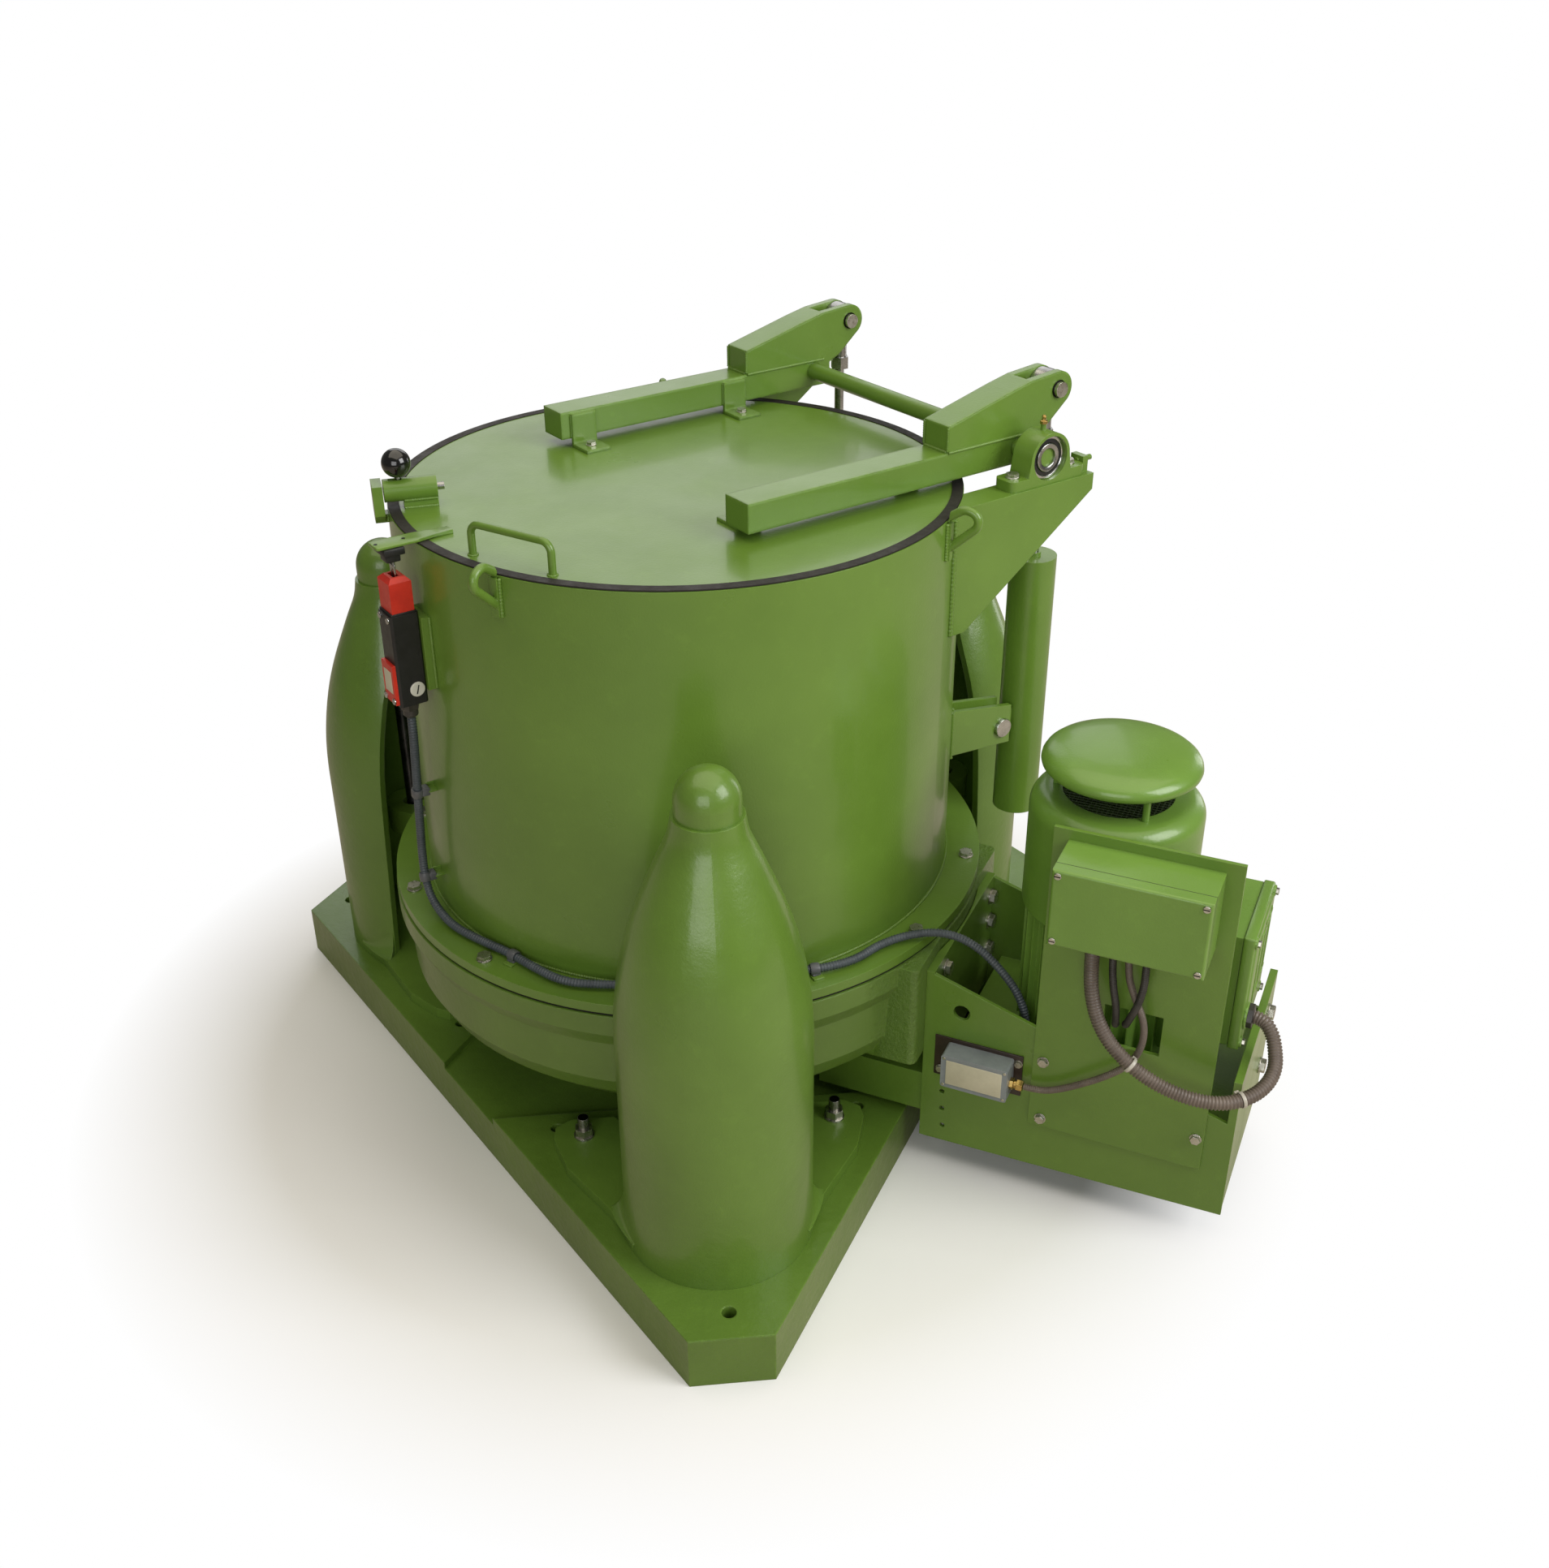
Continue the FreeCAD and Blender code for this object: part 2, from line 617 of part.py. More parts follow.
def bearing_block():
    """Cast housing on the bracket, with the ball bearing's outer ring in it."""
    s0, s1 = BLOCK_S
    mid = -(s0 + s1) / 2
    base = box(BLOCK_T, (-s1, -s0), (BRACKET_TOP, BRACKET_TOP + BLOCK_BASE_H))
    base = base.makeFillet(10, [e for e in base.Edges if e.BoundBox.ZLength > BLOCK_BASE_H - 1])
    neck = side_plate([(HINGE_T - BLOCK_SHOULDER, BRACKET_TOP), (HINGE_T + BLOCK_SHOULDER, BRACKET_TOP),
                       (HINGE_T + BLOCK_R - 1, HINGE_Z + 8), (HINGE_T - BLOCK_R + 1, HINGE_Z + 8)], -s1, -s0)
    hub = rod(BLOCK_R, (HINGE_T, -s1, HINGE_Z), (HINGE_T, -s0, HINGE_Z))
    nipple = rod(4, (HINGE_T, mid, HINGE_Z + BLOCK_R - 3), (HINGE_T, mid, HINGE_Z + BLOCK_R + 12))
    shape = join([base, neck, hub, nipple])
    shape = shape.cut(rod(BEARING_R, (HINGE_T, -s1 - 1, HINGE_Z), (HINGE_T, -s0 + 1, HINGE_Z)))
    for t in (HINGE_T - BLOCK_BOLT_SPACING / 2, HINGE_T + BLOCK_BOLT_SPACING / 2):
        shape = shape.cut(disc(5.5, BRACKET_TOP - 1, BRACKET_TOP + BLOCK_BASE_H + 1, t, mid))
    return shape


def bearing_outer_ring():
    mid = -sum(BLOCK_S) / 2
    ends = ((HINGE_T, mid - BEARING_HALF_W, HINGE_Z), (HINGE_T, mid + BEARING_HALF_W, HINGE_Z))
    return rod(BEARING_R, *ends).cut(rod(INNER_RING_R + RING_GAP, *ends))


def bearing_inner_ring():
    mid = -sum(BLOCK_S) / 2
    ends = ((HINGE_T, mid - BEARING_HALF_W + 1, HINGE_Z), (HINGE_T, mid + BEARING_HALF_W - 1, HINGE_Z))
    return rod(INNER_RING_R, *ends).cut(rod(SHAFT_R, *ends))


PARTS["hinge_brackets"] = group(both_sides(hinge_bracket))
PARTS["bearing_blocks"] = group(both_sides(bearing_block) + both_sides(bearing_outer_ring))
hinge_shaft = rod(SHAFT_R, (HINGE_T, -SHAFT_HALF, HINGE_Z), (HINGE_T, SHAFT_HALF, HINGE_Z))
PARTS["hinge_shaft"] = group([hinge_frame(hinge_shaft)] + both_sides(bearing_inner_ring))


# ---- lid ----------------------------------------------------------------
def lid_plate():
    shape = disc(LID_R, LID_Z, LID_Z + LID_T)
    for t in ARM_FEET_T:
        for s in (-1, 1):
            shape = shape.cut(hinge_frame(disc(4.5, LID_Z - 1, LID_Z + LID_T + 1, t, s * (ARM_S[0] - 22))))
    return shape


def lid_gasket():
    """Seal under the lid's edge, joined by a web to the flat trim over the casing."""
    low = CASING_TOP - LIP_DROP + LID_GAP
    rest = CASING_TOP + LID_GAP
    top = LID_Z + LID_T + TRIM_CAP
    web = LID_R + TRIM_WEB
    return lathe([(LID_R - SEAL_W, low), (web, low), (web, rest), (TRIM_R, rest), (TRIM_R, top),
                  (LID_R, top), (LID_R, LID_Z), (LID_R - SEAL_W, LID_Z)])


def lid_arm():
    """Square bar with a gusset that rises to a round, forked ear."""
    s0, s1 = ARM_S
    z0, z1 = ARM_Z
    outline = [(ARM_BACK, z0), (EAR_T - 40, z0), (EAR_T - 40, z1 - 6), (EAR_T - 21, z1 + 3),
               (EAR_T + 16, EAR_Z - 19.1), (EAR_T, EAR_Z), (EAR_T - 2, EAR_Z + EAR_R - 0.1),
               (EAR_T - 53, EAR_Z + 20.4), (EAR_T - 89, EAR_Z + 12.4), (EAR_T - 203, z1 + 37),
               (EAR_T - 203, z1), (ARM_BACK, z1)]
    ear = rod(EAR_R, (EAR_T, -s1, EAR_Z), (EAR_T, -s0, EAR_Z))
    shape = join([side_plate(outline, -s1, -s0), ear])
    fork = box((EAR_T - 53, EAR_T + 2 * EAR_R), (-s1 + EAR_PLATE, -s0 - EAR_PLATE),
               (z1 - 9, EAR_Z + 2 * EAR_R))
    shape = shape.cut(fork)
    width, reach, thick = ARM_FOOT
    top = LID_Z + LID_T
    for t in ARM_FEET_T:
        span = (t - width / 2, t + width / 2)
        shape = shape.fuse(box(span, (-s0, -s0 + reach), (top, top + thick)))
        shape = shape.fuse(box(span, (-s0, -s0 + thick), (top, z1 - 4)))
    shape = shape.removeSplitter()
    for t in ARM_FEET_T:
        shape = shape.cut(disc(5, top - 1, top + thick + 1, t, -s0 + 22))
    ends = ((HINGE_T, -s1 - 1, HINGE_Z), (HINGE_T, -s0 + 1, HINGE_Z))
    shape = shape.cut(rod(SHAFT_R, *ends))
    for y in (-s1, -s0 - EAR_PLATE):
        stub = rod(11, (EAR_T, y - 1, EAR_Z), (EAR_T, y + EAR_PLATE + 1, EAR_Z))
        shape = shape.cut(stub)
    return shape


def ear_pin_stubs():
    """The ear pin, open over the gap where the piston rod's eye stands."""
    s0, s1 = ARM_S
    outer = rod(10.9, (EAR_T, -s1 - 7, EAR_Z), (EAR_T, -s1 + EAR_PLATE, EAR_Z))
    inner = rod(10.9, (EAR_T, -s0 - EAR_PLATE, EAR_Z), (EAR_T, -s0 + 7, EAR_Z))
    return group([outer, inner])


def arm_bolts():
    """Foot bolts of both arms, and the stub pins in their ears."""
    pieces = []
    top = LID_Z + LID_T + ARM_FOOT[2]
    for t in ARM_FEET_T:
        piece = bolt(8, 13, (t, -ARM_S[0] + 22, top), (0, 0, 1), ARM_FOOT[2] + LID_T)
        pieces += both_sides(lambda: piece)
    return group(pieces + both_sides(ear_pin_stubs))


def handle():
    z = LID_Z + LID_T
    first, last = HANDLE
    return bent_rod([polar(*first, z), polar(*first, HANDLE_TOP), polar(*last, HANDLE_TOP), polar(*last, z)],
                    HANDLE_ROD_R, 14)


PARTS["lid_plate"] = lid_plate()
PARTS["lid_gasket"] = lid_gasket()
PARTS["lid_arm_near"], PARTS["lid_arm_far"] = both_sides(lid_arm)
PARTS["arm_bolts"] = arm_bolts()
PARTS["lid_handle"] = handle()


# ---- latch and interlock ------------------------------------------------
def latch_barrel():
    z = LATCH_Z
    r0, r1 = LATCH_BARREL
    shape = rod(LATCH_BARREL_R, (r0, 0, z), (r1, 0, z))
    foot = box(LATCH_FOOT, (-9, 9), (LID_Z + LID_T, z - 10))
    shape = shape.fuse(foot).removeSplitter()
    shape = shape.cut(rod(LATCH_PIN_R + RUN, (r0 - 1, 0, z), (r1 + 1, 0, z)))
    slot = box((LATCH_STEM - 4.5, LATCH_STEM + LATCH_TRAVEL + 4.5), (-4.5, 4.5), (z, z + 30))
    return turned(shape.cut(slot), LATCH_ANGLE)


def latch_pin():
    z = LATCH_Z
    bar = rod(LATCH_PIN_R, (LATCH_PIN[0], 0, z), (LATCH_PIN[1], 0, z))
    stem = disc(3.5, z, LATCH_KNOB_Z - LATCH_KNOB_R + 3, LATCH_STEM)
    return turned(join([bar, stem]), LATCH_ANGLE)


def latch_knob():
    knob = Part.makeSphere(LATCH_KNOB_R, V(LATCH_STEM, 0, LATCH_KNOB_Z))
    foot = LATCH_KNOB_Z - LATCH_KNOB_R
    knob = knob.cut(disc(LATCH_KNOB_R, foot - 5, foot + 2, LATCH_STEM))
    return turned(knob.cut(disc(3.5, foot - 5, foot + 3, LATCH_STEM)), LATCH_ANGLE)


def catch_plate():
    r0, r1 = CATCH
    z0, z1 = CATCH_Z
    outline = [(-9, z0), (9, z0), (19, z0 + 12), (19, z1), (-19, z1), (-19, z0 + 12)]
    shape = prism([(r0, y, z) for y, z in outline], (r1 - r0, 0, 0))
    low = box((CASING_R - 8, r0), (-9, 9), (z0, CASING_TOP - 4)).cut(drum())
    shape = shape.fuse(low).removeSplitter()
    z = LATCH_Z
    return turned(shape.cut(rod(LATCH_PIN_R + 1, (r0 - 1, 0, z), (r1 + 1, 0, z))), LATCH_ANGLE)


def switch_key():
    """Flat bar on the lid, key holder under its end and the steel key."""
    top = LID_Z + LID_T
    r0, r1 = KEY_BAR
    low = top + TRIM_CAP + LID_GAP
    bar = box((r0, r1), (-15, 15), (low, low + KEY_BAR_T))
    pad = box((r0, LID_R - 8), (-15, 15), (top, low))
    bar = bar.fuse(pad).removeSplitter()
    neck = box((SWITCH_R - 9, SWITCH_R + 11), (-11, 11), (top - HOLDER_DROP, low))
    holder = neck.fuse(box((SWITCH_R - 13, SWITCH_R + 16), (-18, 18), (top - 9, low))).removeSplitter()
    thick, wide = KEY_SIZE
    key = box((SWITCH_R - thick / 2, SWITCH_R + thick / 2), (-wide / 2, wide / 2),
              (KEY_TIP, top - HOLDER_DROP))
    return group(turned(p, SWITCH_ANGLE) for p in (bar, holder, key))


def switch_body():
    r = SWITCH_R
    h = SWITCH_HALF
    shape = box((r - h, r + h), (-h, h), SWITCH_Z)
    shape = shape.makeChamfer(3, [e for e in shape.Edges if e.BoundBox.ZLength > 50])
    return turned(shape, SWITCH_ANGLE)


def switch_covers():
    """Red head with the key slot, and the red terminal cover on the front."""
    r = SWITCH_R
    deep, wide = HEAD_HALF
    head = box((r - deep, r + deep), (-wide, wide), (SWITCH_Z[1], HEAD_TOP))
    head = head.makeChamfer(6, [e for e in head.Edges if e.BoundBox.ZMin > HEAD_TOP - 1])
    thick, wide = KEY_SIZE
    slot = box((r - thick / 2 - KEY_PLAY + 1, r + thick / 2 + KEY_PLAY), (-wide / 2 - 2, wide / 2 + 2),
               (KEY_TIP - 3, HEAD_TOP + 1))
    face = r + SWITCH_HALF
    cover = box((face, face + COVER_T), (-SWITCH_HALF + 3, SWITCH_HALF - 3), COVER_Z)
    return group(turned(p, SWITCH_ANGLE) for p in (head.cut(slot), cover))


def switch_bracket():
    wide = SWITCH_HALF + 4
    span = (SWITCH_Z[0] + 17, SWITCH_Z[1] - 9)
    back = box((CASING_R - 30, SWITCH_R - SWITCH_HALF), (-wide, wide), span).cut(drum())
    return turned(back, SWITCH_ANGLE)


PARTS["latch_barrel"] = latch_barrel()
PARTS["latch_pin"] = latch_pin()
PARTS["latch_knob"] = latch_knob()
PARTS["catch_plate"] = catch_plate()
PARTS["switch_key"] = switch_key()
PARTS["switch_body"] = switch_body()
PARTS["switch_covers"] = switch_covers()
PARTS["switch_bracket"] = switch_bracket()


# ---- lifting lugs, balance cylinders ------------------------------------
def lifting_lug():
    """A rod that slants out from the foot of its bar and bends back over the top."""
    loop = bent_rod([(CASING_R + out, 0, z) for out, z in LUG_LOOP], LUG_ROD_R, LUG_BEND)
    bar = box((CASING_R - 10, CASING_R + 6), (-LUG_ROD_R, LUG_ROD_R), LUG_BAR_Z)
    above = disc(CASING_R + 3, CASING_TOP, CASING_TOP + 100)
    return join([bar, loop]).cut(drum()).cut(above)


def trunnion_fork():
    """Two plates on the casing with the headed pivot pin through them."""
    inner = CYL_S - FORK_GAP / 2
    outer = CYL_S + FORK_GAP / 2
    outline = [(PIVOT_T - 162, PIVOT_Z - 11.5), (PIVOT_T + 17, PIVOT_Z - 30), (PIVOT_T + 17, PIVOT_Z + 33.5),
               (PIVOT_T - 162, PIVOT_Z + 68)]
    plates = [side_plate(outline, -inner, -inner + FORK_PLATE),
              side_plate(outline, -outer - FORK_PLATE, -outer)]
    holes = rod(PIVOT_R, (PIVOT_T, -outer - 20, PIVOT_Z), (PIVOT_T, -inner + 20, PIVOT_Z))
    seat = -outer - FORK_PLATE
    head = rod(PIVOT_R + 3, (PIVOT_T, seat - 5, PIVOT_Z), (PIVOT_T, seat, PIVOT_Z))
    pin = rod(PIVOT_R, (PIVOT_T, seat - 5, PIVOT_Z), (PIVOT_T, -inner + FORK_PLATE + 4, PIVOT_Z))
    return group([p.cut(drum()).cut(holes) for p in plates] + [join([head, pin])])


def balance_cylinder():
    z0, z1 = CYL_Z
    tube = disc(CYL_R, z0, z1, CYL_T, -CYL_S).cut(disc(CYL_R - CYL_WALL, z0 + 8, z1 - 12, CYL_T, -CYL_S))
    tube = tube.cut(disc(PISTON_ROD_R + RUN, z1 - 13, z1 + 20, CYL_T, -CYL_S))
    bush = ring(11, PISTON_ROD_R + RUN, z1, z1 + 5, CYL_T, -CYL_S)
    y0 = -CYL_S - LUG_W / 2
    lug = box((PIVOT_T - 5, CYL_T - CYL_R + 6), (y0, y0 + LUG_W), (PIVOT_Z - 20, PIVOT_Z + 20))
    nose = rod(20, (PIVOT_T, y0, PIVOT_Z), (PIVOT_T, y0 + LUG_W, PIVOT_Z))
    lug = lug.fuse(nose).cut(disc(CYL_R - 1, z0, z1, CYL_T, -CYL_S))
    shape = join([tube, bush, lug])
    hole = rod(PIVOT_R + RUN, (PIVOT_T, -CYL_S - 20, PIVOT_Z), (PIVOT_T, -CYL_S + 20, PIVOT_Z))
    return shape.cut(hole)


def piston_rod():
    """Piston, rod, coupling nut and eye."""
    bar = disc(PISTON_ROD_R, PISTON_Z[0], NUT_Z[0] + 4, CYL_T, -CYL_S)
    piston = disc(PISTON_R, *PISTON_Z, CYL_T, -CYL_S)
    nut = hexagon(26, (CYL_T, -CYL_S, NUT_Z[0]), (0, 0, 1), NUT_Z[1] - NUT_Z[0])
    shank = disc(11, NUT_Z[1] - 1, EAR_Z - 10, CYL_T, -CYL_S)
    eye = rod(EYE_R, (CYL_T, -CYL_S - EYE_W / 2, EAR_Z), (CYL_T, -CYL_S + EYE_W / 2, EAR_Z))
    shape = join([bar, piston, nut, shank, eye])
    return shape.cut(rod(11, (CYL_T, -CYL_S - 30, EAR_Z), (CYL_T, -CYL_S + 30, EAR_Z)))


def balance_spring():
    """Compression spring between the piston and the cylinder's top."""
    low = PISTON_Z[1] + SPRING_WIRE_R + 0.5
    height = CYL_Z[1] - 12 - SPRING_WIRE_R - 0.5 - low
    helix = Part.makeHelix(height / SPRING_TURNS, height, SPRING_R)
    helix.translate(V(CYL_T, -CYL_S, low))
    start = V(CYL_T + SPRING_R, -CYL_S, low)
    section = Part.Wire(Part.makeCircle(SPRING_WIRE_R, start, V(0, 1, 0)))
    return Part.Wire(helix).makePipeShell([section], True, True)


PARTS["lifting_lugs"] = group(turned(lifting_lug(), a) for a in LUG_ANGLES)
PARTS["trunnion_forks"] = group(both_sides(trunnion_fork))
for name, make in (("balance_cylinder", balance_cylinder), ("piston_rod", piston_rod),
                   ("balance_spring", balance_spring)):
    PARTS[name + "_near"], PARTS[name + "_far"] = both_sides(make)


# ---- motor and its bracket ----------------------------------------------
def motor_bracket():
    """Welded box that hangs on the pan and carries the motor on its shelf."""
    inner = BOX_HALF - PLATE
    shape = join([side_plate(BOX_SIDE, -BOX_HALF, -inner), side_plate(BOX_SIDE, inner, BOX_HALF),
                  box((PAD_X, PAD_X + MOUNT_PLATE), (-BOX_HALF, BOX_HALF), BOX_Z),
                  box((BOX_X[1] - 11, BOX_X[1]), (-BOX_HALF, BOX_HALF), END_Z),
                  box((PAD_X + 33, BOX_X[1] - 5), (-inner - 1, inner + 1),
                      (FRAME_Z[0] - SHELF_T, FRAME_Z[0]))])
    shape = shape.cut(box((PAD_X - 1, PAD_X + MOUNT_PLATE + 1), (-GUARD_HALF + 4, GUARD_HALF - 4),
                          (GUARD_Z[0] + GUARD_WALL, GUARD_Z[1] - GUARD_WALL)))
    shape = shape.cut(disc(62, FRAME_Z[0] - SHELF_T - 1, FRAME_Z[0] + 1, MOTOR_X))
    shape = shape.cut(disc(PAN_FLANGE_R + 1, 325, PAN_TOP + 1))
    for x, z, r in BOX_HOLES:
        shape = shape.cut(rod(r, (PAD_X + x, -BOX_HALF - 1, z), (PAD_X + x, -inner + 1, z)))
    return shape


def motor_frame():
    z0, z1 = FRAME_Z
    body = disc(FRAME_R, z0, z1, MOTOR_X)
    flange = box((MOTOR_X - 100, MOTOR_X + 100), (-100, 100), (z0, z0 + 14))
    flange = flange.common(disc(125, z0, z0 + 14, MOTOR_X))
    fins = []
    for i in range(FIN_COUNT):
        fin = box((FRAME_R - 6, FIN_R), (-1.6, 1.6), (z0 + 34, z1 - 14))
        fin.rotate(V(0, 0, 0), UP, 360 / FIN_COUNT * (i + 0.5))
        fin.translate(V(MOTOR_X, 0, 0))
        fins.append(fin)
    pad = box((MOTOR_X + 80, TBOX_X[0]), (-62, 62), (TBOX_Z[0] + 10, TBOX_Z[1] - 40))
    shape = body.fuse([flange, pad] + fins).removeSplitter()
    shape = shape.cut(box(TBOX_X, (-TBOX_HALF - 3, TBOX_HALF + 3), (TBOX_Z[0] - 3, TBOX_Z[1] + 3)))
    shape = shape.cut(disc(64, z0 + 25, z1 - 20, MOTOR_X))
    return shape.cut(disc(MOTOR_SHAFT_R + RUN, z0 - 1, z1 + 1, MOTOR_X))


def motor_cowl():
    """Fan cowl with a rounded top and its guard grille."""
    z0 = FRAME_Z[1]
    r = COWL_R
    w = COWL_WALL
    bend = [math.radians(15 * i) for i in range(7)]
    middle = (r - COWL_BEND, COWL_TOP - COWL_BEND)
    outer = [(middle[0] + COWL_BEND * math.cos(a), middle[1] + COWL_BEND * math.sin(a)) for a in bend]
    inner = [(middle[0] + (COWL_BEND - w) * math.cos(a), middle[1] + (COWL_BEND - w) * math.sin(a))
             for a in reversed(bend)]
    outer = [(FRAME_R, z0 - 12), (r, z0 - 12)] + outer + [(GRILLE_R, COWL_TOP)]
    inner = [(GRILLE_R, COWL_TOP - w)] + inner + [(r - w, z0 + 2), (FRAME_R, z0 + 2)]
    cowl = lathe(outer + inner, MOTOR_X).cut(ring(FIN_R + 0.5, FRAME_R - 1, z0 - 20, z0 - 11, MOTOR_X))
    cowl = cowl.cut(disc(FRAME_R, z0 - 20, z0, MOTOR_X))
    bars = []
    for radius in (GRILLE_R / 4, GRILLE_R / 2, 0.75 * GRILLE_R, GRILLE_R - 2):
        bars.append(ring(radius + 2, radius - 2, COWL_TOP - w, COWL_TOP, MOTOR_X))
    for a in (0, 45, 90, 135):
        bar = box((-GRILLE_R + 1, GRILLE_R - 1), (-2, 2), (COWL_TOP - w, COWL_TOP))
        bar.rotate(V(0, 0, 0), UP, a)
        bar.translate(V(MOTOR_X, 0, 0))
        bars.append(bar)
    return join([cowl] + bars)


def motor_hood():
    z0, z1 = HOOD_Z
    r = HOOD_R
    outer = [(r - 9, z0), (r - 3, z0 + 3), (r, z0 + 9), (r - 1, z0 + 16), (r - 7, z0 + 23), (r - 22, z0 + 29),
             (60, z1 - 2), (0, z1)]
    inner = [(0, z1 - 3), (59, z1 - 5), (r - 23, z0 + 26), (r - 9, z0 + 20.5), (r - 4, z0 + 15),
             (r - 3, z0 + 9), (r - 5.5, z0 + 5), (r - 10, z0 + 2.5)]
    shell = lathe(outer + inner, MOTOR_X)
    posts = []
    for a in (68, 188, 308):
        x, y, z = polar(r - 24, a, 0)
        posts.append(disc(5, COWL_TOP, z1 - 8.5, MOTOR_X + x, y))
    return join([shell] + posts)


def open_box(x, y, z, wall, open_side):
    """A box with walls of one thickness and one side left open."""
    inner = [[x[0] + wall, x[1] - wall], [y[0] + wall, y[1] - wall], [z[0] + wall, z[1] - wall]]
    axis, end = open_side
    inner[axis][end] += (1 if end else -1) * (wall + 1)
    return box(x, y, z).cut(box(*inner))


def terminal_box():
    return open_box(TBOX_X, (-TBOX_HALF, TBOX_HALF), TBOX_Z, 4, (0, 1))


def terminal_box_lid():
    x0 = TBOX_X[1]
    lid = box((x0, x0 + TBOX_LID), (-TBOX_HALF - 3, TBOX_HALF + 3), (TBOX_Z[0] - 3, TBOX_Z[1] + 3))
    return lid.makeChamfer(5, [e for e in lid.Edges if e.BoundBox.XMin > x0 + TBOX_LID - 1])


def back_plate():
    shape = box(BACK_X, (-BOX_HALF - PLATE, -BOX_HALF), BACK_Z)
    x0, x1, z0, z1 = BACK_CUT
    return shape.cut(box((x0, x1), (-BOX_HALF - PLATE - 1, -BOX_HALF + 1), (z0, z1)))


def junction_box():
    y1 = -BOX_HALF - PLATE
    return open_box(JBOX_X, (y1 - JBOX_D, y1), JBOX_Z, 4, (1, 0))


def junction_box_lid():
    y1 = -BOX_HALF - PLATE - JBOX_D
    lid = box(JBOX_X, (y1 - JBOX_LID, y1), JBOX_Z)
    return lid.makeFillet(4, [e for e in lid.Edges if e.BoundBox.YMax < y1 - JBOX_LID + 1])


def sensor_box():
    y1 = -BOX_HALF - SENSOR_PLATE
    body = box(SENSOR_X, (y1 - SENSOR_D, y1), SENSOR_Z)
    body = body.makeFillet(4, [e for e in body.Edges if e.BoundBox.YLength > SENSOR_D - 1])
    plate = box((SENSOR_X[0] - 20, SENSOR_X[1] + 12), (y1, -BOX_HALF), (SENSOR_Z[0] - 8, SENSOR_Z[1] + 6))
    return group([body, plate])


def conduit_fittings():
    """Glands at every conduit end and the clips on casing and flange."""
    pieces = []
    x, y, z = polar(SWITCH_R, SWITCH_ANGLE, 0)
    pieces.append(hexagon(24, (x, y, SWITCH_Z[0]), (0, 0, -1), SWITCH_Z[0] - CONDUIT_ROUTE[0][2]))
    for route, af in ((MOTOR_LEAD, 36), (SENSOR_LEAD, 20)):
        x, y, z = route[0]
        pieces.append(hexagon(af, (x, y, JBOX_Z[0]), (0, 0, -1), JBOX_Z[0] - z))
    x, y, z = SENSOR_LEAD[-1]
    pieces.append(hexagon(18, (SENSOR_X[1], y, z), (1, 0, 0), x - SENSOR_X[1]))
    for angle, z in ((-124.9, 590), (-127.6, 440)):
        clip = box((CASING_R - 5, CASING_R + 36), (-10, 10), (z, z + 12)).cut(drum())
        pieces.append(turned(clip.cut(box((CASING_R + 18, CASING_R + 37), (-7, 7), (z - 1, z + 13))), angle))
    return group(pieces)


PARTS["motor_bracket"] = motor_bracket()
PARTS["motor_frame"] = motor_frame()
PARTS["motor_cowl"] = motor_cowl()
PARTS["motor_hood"] = motor_hood()
PARTS["terminal_box"] = terminal_box()
PARTS["terminal_box_lid"] = terminal_box_lid()
PARTS["back_plate"] = back_plate()
PARTS["junction_box"] = junction_box()
PARTS["junction_box_lid"] = junction_box_lid()
PARTS["sensor_box"] = sensor_box()
down_the_casing = [polar(CASING_R + out, angle, z) for out, angle, z in CONDUIT_ROUTE]
PARTS["switch_conduit"] = tube_along("switch_conduit", down_the_casing + CONDUIT_DROP, CONDUIT_R)
PARTS["motor_lead"] = tube_along("motor_lead", MOTOR_LEAD, MOTOR_LEAD_R)
PARTS["sensor_lead"] = tube_along("sensor_lead", SENSOR_LEAD, SENSOR_LEAD_R)
PARTS["conduit_fittings"] = conduit_fittings().cut(PARTS["switch_conduit"])


# ---- drive and basket ---------------------------------------------------
def pulley(r, x, bore):
    shape = disc(r, *PULLEY_Z, x).cut(disc(bore, PULLEY_Z[0] - 1, PULLEY_Z[1] + 1, x))
    for z in BELT_Z:
        shape = shape.cut(ring(r + 1, r - GROOVE_D, z, z + BELT_W, x))
    return shape


def belt_loop(grow, z0, z1):
    """Solid outline round both pulleys, a given distance outside the groove floors."""
    big = DRIVEN_R - GROOVE_D + grow
    small = DRIVE_R - GROOVE_D + grow
    lean = math.asin((big - small) / MOTOR_X)
    corners = []
    for r, x in ((big, 0), (small, MOTOR_X)):
        corners.append((x + r * math.sin(lean), r * math.cos(lean), z0))
    corners += [(x, -y, z) for x, y, z in reversed(corners)]
    return join([disc(big, z0, z1), disc(small, z0, z1, MOTOR_X), prism(corners, (0, 0, z1 - z0))])


def drive_belts():
    belts = []
    for z in BELT_Z:
        outer = belt_loop(BELT_GAP + BELT_T, z + BELT_GAP, z + BELT_W - BELT_GAP)
        belts.append(outer.cut(belt_loop(BELT_GAP, z - 1, z + BELT_W + 1)))
    return group(belts)


def belt_guard():
    x0, x1 = GUARD_X
    z0, z1 = GUARD_Z
    w = GUARD_WALL
    shape = box((x0, x1), (-GUARD_HALF, GUARD_HALF), (z0, z1))
    return shape.cut(box((x0 - 1, x1 + 1), (-GUARD_HALF + w, GUARD_HALF - w), (z0 + w, z1 - w)))


def spindle_housing():
    flange_z = PAN_FLOOR + PAN_WALL
    shape = join([disc(HOUSING_R, 152, 372), disc(115, flange_z, flange_z + 16)])
    shape = shape.cut(disc(42, 172, 352))
    return shape.cut(disc(SPINDLE_R + RUN, 151, 373))


